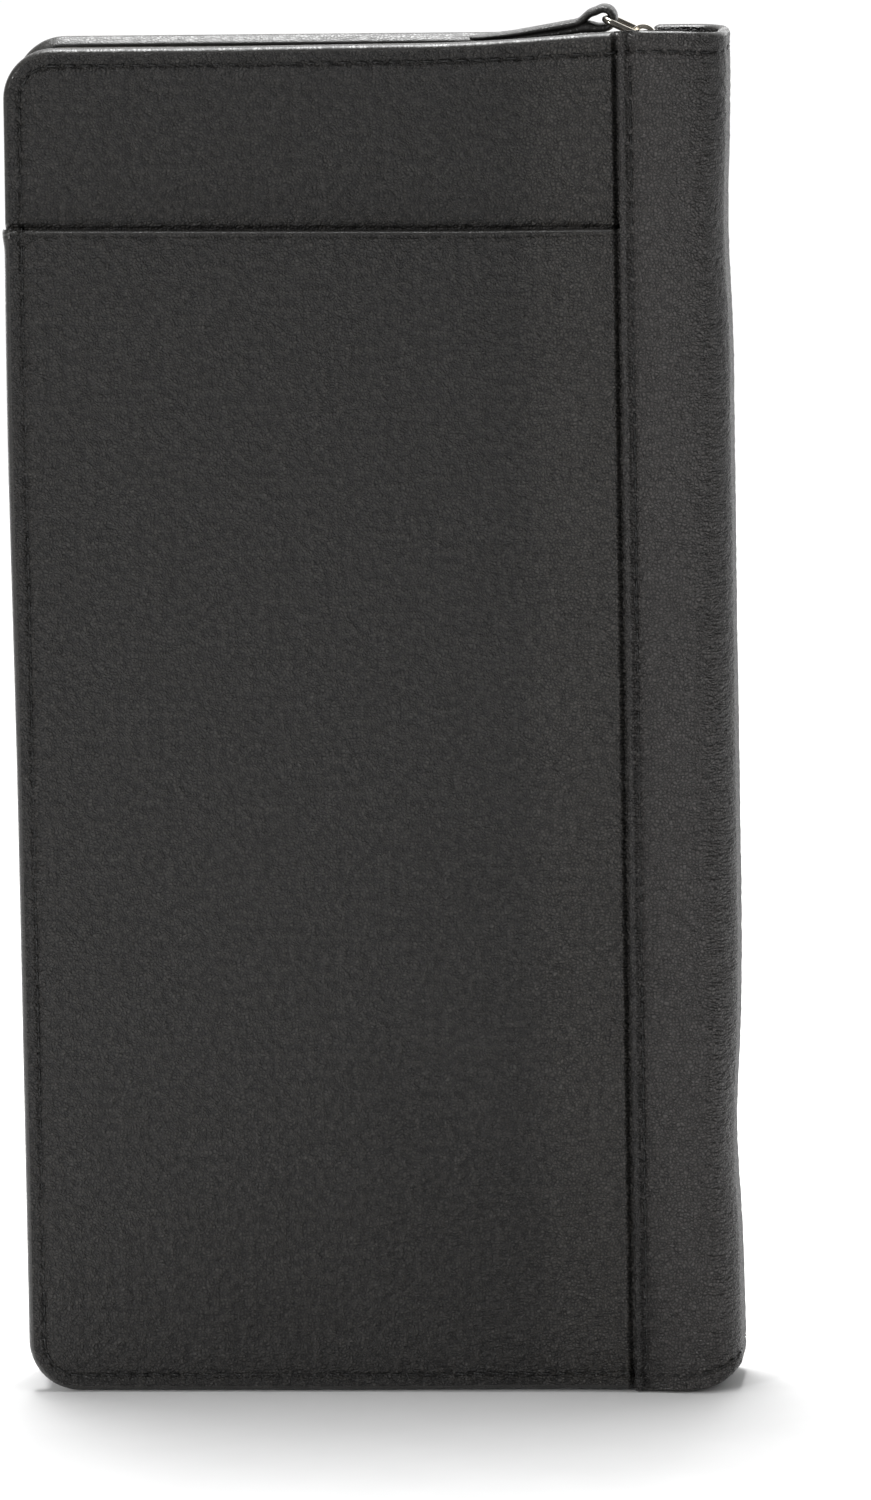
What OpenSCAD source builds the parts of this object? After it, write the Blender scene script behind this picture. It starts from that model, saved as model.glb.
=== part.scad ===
// Travel document organizer: a zip-round leather case standing on its bottom edge.
// X runs from the open edge to the spine, Y from the face with the slip pocket to the
// other face, Z up. The origin is at the middle of the foot print.

/* [Case] */
// Width from the open edge to the outside of the spine
case_w = 127.5; // [118:0.5:140]
// Height of the spine leather
case_h = 241; // [232:0.5:250]
// Thickness of the closed case over the spine leather
case_t = 25; // [24:0.5:30]
// How far the covers stop below the top of the spine leather
cover_drop = 1.3; // [0.5:0.1:1.5]
// Outer radius of the covers' two free corners
corner_r = 9; // [8.6:0.1:11]

/* [Leather, boards and linings] */
// Thickness of the leather on the covers
leather_t = 0.9; // [0.8:0.05:1]
// Thickness of the leather on the spine
spine_leather_t = 0.8; // [0.7:0.05:0.9]
// Thickness of the turned leather edge round a cover
turned_edge_t = 1.2; // [1:0.1:1.4]
// Thickness of the lining cloth
lining_t = 0.5; // [0.4:0.05:0.6]

/* [Slip pocket] */
// Height of the slip pocket's opening above the bottom edge
slip_pocket_h = 207.5; // [190:0.5:215]

/* [Spine] */
// Width of the spine leather that lies on each cover, measured from the outside of the spine
spine_flap_w = 19.2; // [17:0.1:22]
// Outer radius of the two spine edges
spine_r = 6; // [5:0.1:7]
// Gap where the spine leather bends, as an angle of the spine edge's arc
bend_gap_deg = 1.5; // [1:0.1:3]

/* [Zipper] */
// How far the outside of the tape lies inside the edge of the covers
tape_inset = 1.9; // [1.6:0.1:2.4]
// Thickness of the woven tape
tape_t = 0.8; // [0.6:0.1:1]
// Width of the tape's sewn edge inside a cover
tape_hem_w = 6; // [4:0.5:6]
// Height of the coil, from its outside to its inside
coil_h = 2.2; // [2:0.1:2.4]
// Width of one row of the coil
coil_w = 1.55; // [1.4:0.05:1.7]
// Half of the space between the two coil rows, which the slider's post passes through
coil_gap = 1.05; // [1:0.05:1.2]
// How far the slider travels along the top edge
slider_travel = 95; // [60:1:95]

/* [Pull] */
// Width of the leather pull
strap_w = 6.5; // [5:0.5:7]
// Thickness of one layer of the pull
strap_t = 0.9; // [0.8:0.1:1]
// Radius of the ring's wire
wire_r = 0.6; // [0.5:0.05:0.65]

/* [Inside pockets] */
// Thickness of one inside pocket, with the slit behind it
pocket_t = 0.8; // [0.7:0.05:0.9]
// Depth of the slit behind an inside pocket
slit_t = 0.3; // [0.2:0.05:0.4]
// Number of card pockets
card_count = 3; // [3:1:3]
// Step from one card pocket to the next
card_step = 12; // [10:1:14]

/* [Hidden] */
$fn = 64;

FRONT = -1;
BACK = 1;
leather_colour = "#3a3938";
spine_colour = "#403f3e";
lining_colour = "#4a4a4c";
board_colour = "#b9a88c";
tape_colour = "#1d1d1e";
coil_colour = "#2a2a2b";
nickel_colour = "#c9c8c2";
pocket_colour = "#454342";

// Places across the thickness, as distances from the middle plane
face_y = case_t / 2 - spine_leather_t;
front_base_y = face_y - leather_t;
front_board_y = front_base_y - leather_t;
back_leather_t = 1.2;
back_board_y = face_y - back_leather_t;
hem_y = 8.9;
hem_t = 0.4;
lining_y = hem_y - hem_t;
inside_y = lining_y - lining_t;

// Places along the width and the height
open_x = -case_w / 2;
spine_x = case_w / 2;
cover_h = case_h - cover_drop;
arc_x = spine_x - spine_r;
arc_y = case_t / 2 - spine_r;
flap_x = spine_x - spine_flap_w;
panel_x = arc_x - 1.25;
board_x = panel_x - 0.5;
tape_x = panel_x;
coil_x = panel_x - 2.3;
spine_board_t = 1.2;
spine_board_x = spine_x - spine_leather_t - spine_board_t;
spine_lining_x = spine_board_x - lining_t;
board_inset = turned_edge_t + 0.1;
lining_inset = tape_inset + tape_t + 0.2;

// The coil's top and bottom on the top run
coil_inset = tape_inset + tape_t / 2 - coil_h / 2;
coil_top = cover_h - coil_inset;
coil_bottom = coil_top - coil_h;

// Slider: its plates, post and bail
slider_l = 12;
slider_w = 9.2;
plate_t = 1.1;
plate_gap = 0.25;
post_w = 1.5;
post_l = 5.5;
slider_x = 42;
bail_x = 48.4;
bail_r = 2.4;
bail_hole_r = 1.6;
bail_w = 2;
plate_top = coil_top + plate_gap + plate_t;

// Ring: from the wire in the bail to the wire in the strap's loop
ring_x = 48;
ring_z = plate_top + wire_r + 0.05;
ring_l = 6.7;
ring_tilt = 25;
ring_side_y = strap_w / 2 + wire_r + 0.4;
ring_bend_r = 1.4;
loop_x = ring_x - ring_l * cos(ring_tilt);
loop_z = ring_z + ring_l * sin(ring_tilt);

// Strap: the loop round the wire, then two layers lying along the zipper
loop_r = wire_r + strap_t + 0.9;
loop_cx = loop_x - 0.4;
loop_cz = loop_z + 0.05;
tip_x = 15;
tip_z = coil_top + 0.1;

// Inside pockets
inner_slot_x = -46;
inner_slot_w = 8;
inner_slot_z = [25, 215];
inner_tape_t = 0.4;
inner_panel_y = inside_y - inner_tape_t;
inner_panel_t = 0.7;
inner_row_w = 1;
inner_row_gap = 0.4;
inner_row_t = 1;
inner_face_y = inner_panel_y - inner_panel_t;
card_x = [-50, 45];
card_z = 118;
card_top = 172;

// Turns a flat shape drawn in X and Z into a slab from depth y0 to depth y1 on one side
module slab(side, y0, y1) {
    low = side > 0 ? y0 : -y1;
    translate([0, low + y1 - y0, 0]) rotate([90, 0, 0]) linear_extrude(y1 - y0) children();
}

// The outline of a cover, moved in by inset, with its straight end at x_end
module leaf(inset, x_end) {
    r = max(corner_r - inset, 0.6);
    left = open_x + inset;
    top = cover_h - inset;
    translate([left + r, inset]) square([x_end - left - r, top - inset]);
    translate([left, inset + r]) square([r + 1, top - inset - 2 * r]);
    for (z = [inset + r, top - r]) translate([left + r, z]) circle(r);
}

// A band that follows the three free edges between two insets
module edge_band(inset_out, inset_in, x_end) {
    difference() {
        leaf(inset_out, x_end);
        leaf(inset_in, x_end + 1);
    }
}

// A rectangle from its two corners
module panel(x, z) {
    translate([x[0], z[0]]) square([x[1] - x[0], z[1] - z[0]]);
}

// A flat pocket, sewn at its foot and sides, with a slit behind it that opens upwards
module flat_pocket(side, y_back, t, x, z) {
    seam = 3;
    difference() {
        slab(side, y_back - t, y_back) panel(x, z);
        slab(side, y_back - slit_t, y_back + 1) panel([x[0] + seam, x[1] - seam], [z[0] + seam, z[1] + 1]);
    }
}

// A stretch of the spine edge's arc, in plan; 0 degrees points at the spine, 90 at the face
module spine_arc(side, from_deg, to_deg) {
    reach = spine_r * 1.5;
    intersection() {
        translate([arc_x, side * arc_y]) difference() {
            circle(spine_r);
            circle(spine_r - spine_leather_t);
        }
        translate([arc_x, side * arc_y]) polygon([
            [0, 0],
            [reach * cos(from_deg), side * reach * sin(from_deg)],
            [reach * cos((from_deg + to_deg) / 2), side * reach * sin((from_deg + to_deg) / 2)],
            [reach * cos(to_deg), side * reach * sin(to_deg)]
        ]);
    }
}

// The part of the spine leather that is sewn down on a cover
module spine_flap(side) {
    linear_extrude(case_h) union() {
        translate([flap_x, side > 0 ? face_y : -case_t / 2]) square([arc_x - flap_x, spine_leather_t]);
        spine_arc(side, 45 + bend_gap_deg, 90);
    }
}

// Half of the zipper's tape: a sewn hem inside the cover and a web across the gap
module zipper_tape(side) {
    slab(side, lining_y, hem_y) edge_band(tape_inset, tape_inset + tape_hem_w, tape_x);
    slab(side, coil_gap + coil_w, lining_y) edge_band(tape_inset, tape_inset + tape_t, tape_x);
}

module zipper_coil(side) {
    slab(side, coil_gap, coil_gap + coil_w) edge_band(coil_inset, coil_inset + coil_h, coil_x);
}

// The two metal stops that close one row of the coil, at the top and at the bottom
module end_stops(side) {
    stop = [1.4, 1.75, 2.6];
    for (z = [coil_top - coil_h / 2, cover_h - coil_top + coil_h / 2])
        translate([coil_x + 0.1, side > 0 ? coil_gap - 0.3 : -coil_gap + 0.3 - stop[1], z - stop[2] / 2])
            cube(stop);
}

module front_cover_leather() {
    color(leather_colour) {
        slab(FRONT, front_board_y, front_base_y) leaf(0, panel_x);
        slab(FRONT, inside_y, front_board_y) edge_band(0, turned_edge_t, panel_x);
    }
}

module front_slip_pocket() {
    color(leather_colour) slab(FRONT, front_base_y, face_y) intersection() {
        leaf(0, panel_x);
        panel([open_x - 1, panel_x], [-1, slip_pocket_h]);
    }
}

module front_board() {
    color(board_colour) slab(FRONT, hem_y, front_board_y) leaf(board_inset, board_x);
}

module front_lining() {
    color(lining_colour) slab(FRONT, inside_y, lining_y) leaf(lining_inset, panel_x);
}

module back_cover_leather() {
    color(leather_colour) {
        slab(BACK, back_board_y, face_y) leaf(0, panel_x);
        slab(BACK, inside_y, back_board_y) edge_band(0, turned_edge_t, panel_x);
    }
}

module back_board() {
    color(board_colour) slab(BACK, hem_y, back_board_y) leaf(board_inset, board_x);
}

module back_lining() {
    color(lining_colour) slab(BACK, inside_y, lining_y) leaf(lining_inset, panel_x);
}

module spine_leather() {
    color(spine_colour) linear_extrude(case_h) union() {
        translate([spine_x - spine_leather_t, -arc_y]) square([spine_leather_t, 2 * arc_y]);
        for (side = [FRONT, BACK]) spine_arc(side, 0, 45 - bend_gap_deg);
    }
}

module spine_front_flap() {
    color(spine_colour) spine_flap(FRONT);
}

module spine_back_flap() {
    color(spine_colour) spine_flap(BACK);
}

module spine_board() {
    margin = 2;
    color(board_colour) translate([spine_board_x, -arc_y, margin])
        cube([spine_board_t, 2 * arc_y, case_h - 2 * margin]);
}

module spine_lining() {
    margin = 1.5;
    color(lining_colour) translate([spine_lining_x, -arc_y, margin])
        cube([lining_t, 2 * arc_y, case_h - 2 * margin]);
}

// Leather tabs that close the spine past the ends of the zipper, at the top and at the bottom
module spine_end_tabs() {
    inset = 2.6;
    half = arc_y + 3;
    color(spine_colour) for (z = [inset, case_h - inset - leather_t])
        translate([tape_x + 0.8, -half, z]) cube([spine_lining_x - tape_x - 0.8, 2 * half, leather_t]);
}

module front_zipper_tape() {
    color(tape_colour) zipper_tape(FRONT);
}

module back_zipper_tape() {
    color(tape_colour) zipper_tape(BACK);
}

module front_zipper_coil() {
    color(coil_colour) zipper_coil(FRONT);
}

module back_zipper_coil() {
    color(coil_colour) zipper_coil(BACK);
}

module front_end_stops() {
    color(nickel_colour) end_stops(FRONT);
}

module back_end_stops() {
    color(nickel_colour) end_stops(BACK);
}

// Two plates with rounded ends, the post between them and the bail on top
module slider() {
    plate_z = [coil_bottom - plate_gap - plate_t, coil_top + plate_gap];
    end_r = 2.5;
    post_x = slider_x + 2.5;
    color(nickel_colour) {
        for (z = plate_z) translate([0, 0, z]) linear_extrude(plate_t) union() {
            translate([slider_x + end_r, -slider_w / 2]) square([slider_l - 2 * end_r, slider_w]);
            translate([slider_x, -slider_w / 2 + end_r]) square([slider_l, slider_w - 2 * end_r]);
            for (x = [slider_x + end_r, slider_x + slider_l - end_r], y = [-1, 1])
                translate([x, y * (slider_w / 2 - end_r)]) circle(end_r);
        }
        translate([post_x, -post_w / 2, plate_z[0] + plate_t])
            cube([post_l, post_w, plate_z[1] - plate_z[0] - plate_t]);
        translate([bail_x, bail_w / 2, plate_top]) rotate([90, 0, 0]) linear_extrude(bail_w) difference() {
            circle(bail_r);
            circle(bail_hole_r);
            translate([-bail_r - 1, -bail_r - 1]) square([2 * bail_r + 2, bail_r + 1]);
        }
    }
}

// A closed wire ring with straight sides; it lies along X, tilted up towards the strap
module pull_ring() {
    straight_y = ring_side_y - ring_bend_r;
    straight_x = ring_l - 2 * ring_bend_r;
    color(nickel_colour) translate([ring_x, 0, ring_z]) rotate([0, ring_tilt, 0]) translate([-ring_l / 2, 0, 0]) {
        for (end = [-1, 1]) {
            translate([end * ring_l / 2, straight_y, 0]) rotate([90, 0, 0]) cylinder(h = 2 * straight_y, r = wire_r);
            translate([-straight_x / 2, end * ring_side_y, 0]) rotate([0, 90, 0]) cylinder(h = straight_x, r = wire_r);
        }
        for (corner = [0:3]) {
            sx = corner == 0 || corner == 3 ? 1 : -1;
            sy = corner < 2 ? 1 : -1;
            translate([sx * straight_x / 2, sy * straight_y, 0]) rotate([0, 0, 90 * corner])
                rotate_extrude(angle = 90) translate([ring_bend_r, 0]) circle(wire_r);
        }
    }
}

// A doubled strip: it loops round the ring's wire and its two layers are sewn together
module pull_strap() {
    top_x = loop_cx - loop_r * sin(20);
    color(leather_colour) translate([0, strap_w / 2, 0]) rotate([90, 0, 0]) linear_extrude(strap_w) difference() {
        union() {
            translate([loop_cx, loop_cz]) circle(loop_r);
            polygon([
                [tip_x, tip_z],
                [loop_cx - 6, loop_cz - loop_r + 0.25],
                [loop_cx - 0.8, loop_cz - loop_r + 0.1],
                [loop_cx - 0.8, loop_cz + loop_r - 0.15],
                [top_x - 2.6, loop_cz - loop_r + 2 * strap_t + 0.35],
                [tip_x, tip_z + 2 * strap_t - 0.7]
            ]);
        }
        translate([loop_cx, loop_cz]) circle(loop_r - strap_t);
    }
}

module inner_zip_panel() {
    half = inner_slot_w / 2;
    color(pocket_colour) slab(FRONT, inner_face_y, inner_panel_y) difference() {
        leaf(lining_inset + 1, panel_x);
        panel([inner_slot_x - half, inner_slot_x + half], inner_slot_z);
    }
}

// Two strips of tape behind the slot, one on each side of the slider's post
module inner_zip_tapes() {
    tape_w = 9;
    margin = 4;
    color(tape_colour) for (x = [inner_slot_x - inner_row_gap - tape_w, inner_slot_x + inner_row_gap])
        slab(FRONT, inner_panel_y, inside_y)
            panel([x, x + tape_w], [inner_slot_z[0] - margin, inner_slot_z[1] + margin]);
}

module inner_zip_coils() {
    color(coil_colour) for (x = [inner_slot_x - inner_row_gap - inner_row_w, inner_slot_x + inner_row_gap])
        slab(FRONT, inner_panel_y - inner_row_t, inner_panel_y)
            panel([x, x + inner_row_w], [inner_slot_z[0] + 2, inner_slot_z[1] - 2]);
}

module inner_zip_stops() {
    stop_h = 1.5;
    color(nickel_colour) for (z = [inner_slot_z[0] + 0.4, inner_slot_z[1] - stop_h - 0.4])
        slab(FRONT, inner_panel_y - inner_row_t, inner_panel_y)
            panel([inner_slot_x - 1.6, inner_slot_x + 1.6], [z, z + stop_h]);
}

// The small slider: a plate over the rows, a post between them and two ears for the puller
module inner_zip_slider() {
    plate_y = inner_panel_y - inner_row_t - 0.15;
    plate_t = 0.7;
    low = inner_slot_z[0] + 2.2;
    color(nickel_colour) {
        slab(FRONT, plate_y - plate_t, plate_y) panel([inner_slot_x - 3, inner_slot_x + 3], [low, low + 8]);
        slab(FRONT, plate_y, inner_panel_y - 0.1) panel([inner_slot_x - 0.2, inner_slot_x + 0.2], [low + 2, low + 6]);
        for (side = [-1, 1]) translate([inner_slot_x + side * 2.2, -plate_y + plate_t + 0.55, low + 4])
            rotate([0, 90, 0]) cylinder(h = 0.7, r = 0.6, center = true);
        for (side = [-1, 1]) slab(FRONT, plate_y - plate_t - 0.6, plate_y - plate_t)
            panel([inner_slot_x + side * 2.2 - 0.35, inner_slot_x + side * 2.2 + 0.35], [low + 3.5, low + 4.5]);
    }
}

// A small plate hanging from a barrel between the slider's ears
module inner_zip_puller() {
    pivot_y = -(inner_panel_y - inner_row_t - 0.15) + 0.7 + 0.65;
    pivot_z = inner_slot_z[0] + 2.2 + 4;
    length = 9.5;
    color(nickel_colour) {
        translate([inner_slot_x, pivot_y, pivot_z]) rotate([0, 90, 0]) cylinder(h = 3.4, r = 0.45, center = true);
        translate([inner_slot_x, pivot_y + 0.3, pivot_z]) rotate([90, 0, 0]) linear_extrude(0.6) union() {
            translate([-1.5, -length + 1.5]) square([3, length - 1.5]);
            translate([0, -length + 1.5]) circle(1.5);
        }
    }
}

module boarding_pass_pocket() {
    color(pocket_colour) flat_pocket(FRONT, inner_face_y, pocket_t, [-32, panel_x - 1], [6, 200]);
}

module passport_pocket() {
    color(pocket_colour) flat_pocket(FRONT, inner_face_y - pocket_t, pocket_t, [-32, panel_x - 1], [6, 105]);
}

module document_pocket() {
    color(pocket_colour) flat_pocket(BACK, inside_y, pocket_t + 0.2, [-57, panel_x - 2], [6, 206]);
}

// Card pockets share their foot, and each one in front ends one step lower
module card_pocket(level) {
    y_back = inside_y - pocket_t - 0.2 - level * pocket_t;
    color(pocket_colour) flat_pocket(BACK, y_back, pocket_t, card_x,
        [card_z, card_top + (card_count - 1 - level) * card_step]);
}

module card_pocket_upper() {
    card_pocket(0);
}

module card_pocket_middle() {
    card_pocket(1);
}

module card_pocket_lower() {
    card_pocket(2);
}

module id_window_frame() {
    y_back = inside_y - pocket_t - 0.2 - slit_t;
    color(pocket_colour) slab(BACK, y_back - 0.7, y_back) difference() {
        panel(card_x, [16, 110]);
        panel([card_x[0] + 8, card_x[1] - 8], [26, 92]);
    }
}

module id_window() {
    y_back = inside_y - pocket_t - 0.2;
    color([0.85, 0.9, 0.92, 0.35]) slab(BACK, y_back - slit_t, y_back)
        panel([card_x[0] + 4, card_x[1] - 4], [22, 97]);
}

// An elastic loop that lies flat on the spine lining while no pen is in it
module pen_loop() {
    wall = 0.8;
    gap = 1.8;
    depth = gap + 2 * wall;
    color(lining_colour) translate([spine_lining_x - depth, -arc_y + 0.5, 150]) difference() {
        cube([depth, 2 * arc_y - 1, 35]);
        translate([wall, wall, -1]) cube([gap, 2 * arc_y - 1 - 2 * wall, 37]);
    }
}

front_cover_leather();
front_slip_pocket();
front_board();
front_lining();
back_cover_leather();
back_board();
back_lining();
spine_leather();
spine_front_flap();
spine_back_flap();
spine_board();
spine_lining();
spine_end_tabs();
front_zipper_tape();
back_zipper_tape();
front_zipper_coil();
back_zipper_coil();
front_end_stops();
back_end_stops();
slider();
pull_ring();
pull_strap();
inner_zip_panel();
inner_zip_tapes();
inner_zip_coils();
inner_zip_stops();
inner_zip_slider();
inner_zip_puller();
boarding_pass_pocket();
passport_pocket();
document_pocket();
card_pocket_upper();
card_pocket_middle();
card_pocket_lower();
id_window_frame();
id_window();
pen_loop();
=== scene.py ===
# %% [markdown]
# # A zip-round travel document organizer
# A black leather case that opens like a book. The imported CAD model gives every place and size,
# and this lesson gives each piece its real shape: leather that rounds over its boards, sewn
# seams, a coil zipper with its slider, and a doubled leather pull.
#
# All lengths in the lesson are in millimetres, as a leather worker thinks of them. One function
# turns them to Blender's metres when a mesh is made.

# %% Load the frame
import math

import bpy
import bmesh
import numpy as np
from mathutils import Matrix, Vector, noise


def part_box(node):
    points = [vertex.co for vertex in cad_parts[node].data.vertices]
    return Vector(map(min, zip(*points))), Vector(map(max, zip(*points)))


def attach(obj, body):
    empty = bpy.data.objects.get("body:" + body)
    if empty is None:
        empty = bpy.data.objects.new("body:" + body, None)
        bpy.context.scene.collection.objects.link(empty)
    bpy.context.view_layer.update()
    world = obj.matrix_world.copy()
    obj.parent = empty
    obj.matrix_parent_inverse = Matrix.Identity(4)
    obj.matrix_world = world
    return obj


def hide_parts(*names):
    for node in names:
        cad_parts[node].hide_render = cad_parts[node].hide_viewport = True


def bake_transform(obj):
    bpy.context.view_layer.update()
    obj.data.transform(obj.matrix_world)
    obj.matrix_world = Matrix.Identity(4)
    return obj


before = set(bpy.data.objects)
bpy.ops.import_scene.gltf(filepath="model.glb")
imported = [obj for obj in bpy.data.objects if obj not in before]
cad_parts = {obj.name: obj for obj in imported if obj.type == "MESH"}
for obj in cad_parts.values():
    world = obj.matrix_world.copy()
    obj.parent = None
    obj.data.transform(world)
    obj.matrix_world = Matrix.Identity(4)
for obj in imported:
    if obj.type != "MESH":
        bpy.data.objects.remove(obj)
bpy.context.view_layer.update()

# %% [markdown]
# ## Sizes taken from the frame
# The case's sizes below come from the CAD boxes, so that the lesson still fits if the CAD changes; the corner and
# spine radii are given.
# The front is the face with the slip pocket, at negative Y, and the back is at positive Y.

# %% Read the sizes
FRONT, BACK = -1, 1


def box_mm(node):
    """Lowest and highest corner of a CAD node, in millimetres."""
    low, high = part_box(node)
    return np.array(low) * 1000, np.array(high) * 1000


cover_low, cover_high = box_mm("front_cover_leather")
pocket_low, pocket_high = box_mm("front_slip_pocket")
flap_low = box_mm("spine_front_flap")[0]
spine_high = box_mm("spine_leather")[1]
lining_high = box_mm("front_lining")[1]
tape_high = box_mm("front_zipper_tape")[1]
coil_high = box_mm("front_zipper_coil")[1]

OPEN_X, PANEL_X, COVER_H = cover_low[0], cover_high[0], cover_high[2]
SPINE_X, SPINE_H, FLAP_X = spine_high[0], spine_high[2], flap_low[0]
CASE_Y = -flap_low[1]
FACE_Y, BASE_Y = -pocket_low[1], -pocket_high[1]
POCKET_H = pocket_high[2]
CORNER_R = 9.0
SPINE_R = 6.0
print(f"covers {PANEL_X - OPEN_X:.1f} x {COVER_H:.1f} mm, spine {SPINE_H:.1f} mm, case {2 * CASE_Y:.1f} mm thick")

# %% [markdown]
# ## The camera
# A long lens about two metres away keeps the upright edges almost parallel. The camera stands a
# little towards the spine and looks slightly down, and it leans a degree, as a hand-set one does.

# %% Place the camera
CAMERA_DISTANCE = 2.0
CAMERA_AZIMUTH = 4.5
CAMERA_ELEVATION = 8.4
CAMERA_ROLL = -0.92
CAMERA_TARGET = Vector((0.0098, 0.0, 0.1136))
CAMERA_LENS = 270.6


def place_camera():
    azimuth, elevation = math.radians(CAMERA_AZIMUTH), math.radians(CAMERA_ELEVATION)
    back = Vector((
        math.sin(azimuth) * math.cos(elevation),
        -math.cos(azimuth) * math.cos(elevation),
        math.sin(elevation),
    ))
    camera = bpy.data.objects.new("camera", bpy.data.cameras.new("camera"))
    camera.data.lens = CAMERA_LENS
    camera.data.clip_end = 50
    turn = (-back).to_track_quat("-Z", "Y").to_matrix() @ Matrix.Rotation(math.radians(CAMERA_ROLL), 3, "Z")
    camera.matrix_world = Matrix.Translation(CAMERA_TARGET + back * CAMERA_DISTANCE) @ turn.to_4x4()
    bpy.context.scene.collection.objects.link(camera)
    bpy.context.scene.camera = camera
    return camera


camera = place_camera()
print("camera stands at", [round(v, 3) for v in camera.matrix_world.translation])

# %% [markdown]
# ## Helpers for meshes
# Most pieces are a grid of points that a formula bends into shape. `grid_faces` joins such a
# grid into quads, and `add_mesh` makes the object and gives each point its place on the flat
# piece, in millimetres, as its UV. Patterns that follow the UV stay on the leather when it bends.

# %% Mesh helpers


def smooth(value):
    """0 below 0, 1 above 1, and a soft S between."""
    t = np.clip(value, 0, 1)
    return t * t * (3 - 2 * t)


def ridge(distance, width):
    """A rounded ridge, 1 at its middle and gone at about twice its width."""
    return np.exp(-((distance / width) ** 2))


def grid_faces(rows, columns, wrap=False, start=0):
    """Quads for a grid of points numbered row by row; wrap joins the last column to the first."""
    across = columns if wrap else columns - 1
    a = np.arange(rows - 1)[:, None] * columns + np.arange(across)[None, :]
    b = np.arange(rows - 1)[:, None] * columns + (np.arange(across)[None, :] + 1) % columns
    return (np.stack([a, b, b + columns, a + columns], -1).reshape(-1, 4) + start).tolist()


def add_mesh(name, points, faces, material, uv=None, outward=None):
    """An object from points in millimetres. outward is a direction that the first face should look in."""
    mesh = bpy.data.meshes.new(name)
    mesh.from_pydata((np.asarray(points, float) * 0.001).tolist(), [], faces)
    mesh.validate()
    if outward is not None and mesh.polygons[0].normal.dot(Vector(outward)) < 0:
        mesh.flip_normals()
    mesh.polygons.foreach_set("use_smooth", [True] * len(mesh.polygons))
    if uv is not None:
        loops = np.zeros(len(mesh.loops), int)
        mesh.loops.foreach_get("vertex_index", loops)
        mesh.uv_layers.new(name="flat_mm").data.foreach_set("uv", np.asarray(uv, float)[loops].ravel())
    mesh.materials.append(material)
    made = bpy.data.objects.new(name, mesh)
    bpy.context.scene.collection.objects.link(made)
    return made


def close_normals(piece):
    """Turns every face of a closed mesh outwards."""
    work = bmesh.new()
    work.from_mesh(piece.data)
    bmesh.ops.recalc_face_normals(work, faces=work.faces)
    work.to_mesh(piece.data)
    work.free()


def thicken(piece, thickness):
    """Gives a one-sided sheet its thickness, away from its outer face."""
    modifier = piece.modifiers.new("thickness", "SOLIDIFY")
    modifier.thickness = thickness * 0.001
    modifier.offset = -1
    modifier.use_even_offset = False
    return piece


def soft_edges(piece, width, segments=2):
    """Breaks the sharp edges of a hard piece, as polishing or pressing does."""
    weld = piece.modifiers.new("weld", "WELD")
    weld.merge_threshold = 0.00001
    bevel = piece.modifiers.new("soft_edges", "BEVEL")
    bevel.width = width * 0.001
    bevel.segments = segments
    bevel.limit_method = "ANGLE"
    bevel.angle_limit = math.radians(35)
    return piece


def reach_along(path):
    """How far along a path each of its points is."""
    return np.concatenate([[0], np.cumsum(np.linalg.norm(np.diff(path, axis=0), axis=1))])


def points_at(places, reach, path):
    """The points of a path at the given places along it."""
    return np.stack([np.interp(places, reach, path[:, i]) for i in range(path.shape[1])], -1)


def path_frame(path):
    """Unit directions along a flat path, and to its right, which is into the case along the sewn edge."""
    along = np.gradient(path, axis=0)
    along /= np.linalg.norm(along, axis=1, keepdims=True)
    return along, np.stack([along[:, 1], -along[:, 0]], -1)


def squarish(value, power):
    """Bends a sine or cosine so that the round it draws becomes a rounded box."""
    return np.sign(value) * np.abs(value) ** power


def belongs(piece, body, slot, *nodes):
    """Gives a piece the body it rides on and hides the CAD nodes that it stands for; slot is not used."""
    if body:
        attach(piece, body)
    if nodes:
        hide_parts(*nodes)


def dress(node, material, edge=0):
    """Gives a CAD node its material and, if it is hard, breaks its sharp edges."""
    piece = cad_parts[node]
    piece.data.materials.clear()
    piece.data.materials.append(material)
    if edge:
        soft_edges(piece, edge)
    return piece


def spaced(low, high, fine, coarse, margin):
    """Positions from low to high, close together within margin of the ends."""
    ends = np.linspace(0, margin, max(2, int(margin / fine) + 1))
    middle = np.linspace(low + margin, high - margin, max(2, int((high - low - 2 * margin) / coarse) + 1))
    return np.concatenate([low + ends, middle[1:-1], (high - ends)[::-1]])


def waves(x, y, size, seed):
    """Soft irregular waves between -1 and 1, about size millimetres across."""
    flat_x, flat_y = np.ravel(x) / size, np.ravel(y) / size
    found = [noise.noise(Vector((a, b, seed))) for a, b in zip(flat_x, flat_y)]
    return np.array(found).reshape(np.shape(x)) * 1.6


print("helpers ready")

# %% [markdown]
# ## Helpers for materials
# Colours are written as they look, in sRGB hex, and one function turns them to the linear values
# that the shader mixes. One more adds a node with its settings and links.

# %% Material helpers


def linear(hex_colour):
    """Linear RGBA of an sRGB hex colour."""
    parts = [int(hex_colour[i:i + 2], 16) / 255 for i in (1, 3, 5)]
    return (*[c / 12.92 if c <= 0.04045 else ((c + 0.055) / 1.055) ** 2.4 for c in parts], 1.0)


def add_node(tree, kind, values=None, links=None, **settings):
    """One node: settings are its own, values and links go to its inputs by name or number."""
    made = tree.nodes.new(kind)
    for key, value in settings.items():
        setattr(made, key, value)
    for key, value in (values or {}).items():
        made.inputs[key].default_value = value
    for key, output in (links or {}).items():
        tree.links.new(output, made.inputs[key])
    return made


def new_material(name, **shader_values):
    """A material with one Principled shader; returns it with its tree and shader."""
    material = bpy.data.materials.new(name)
    material.use_nodes = True
    tree = material.node_tree
    shader = tree.nodes["Principled BSDF"]
    for key, value in shader_values.items():
        shader.inputs[key.replace("_", " ")].default_value = value
    return material, tree, shader


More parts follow.
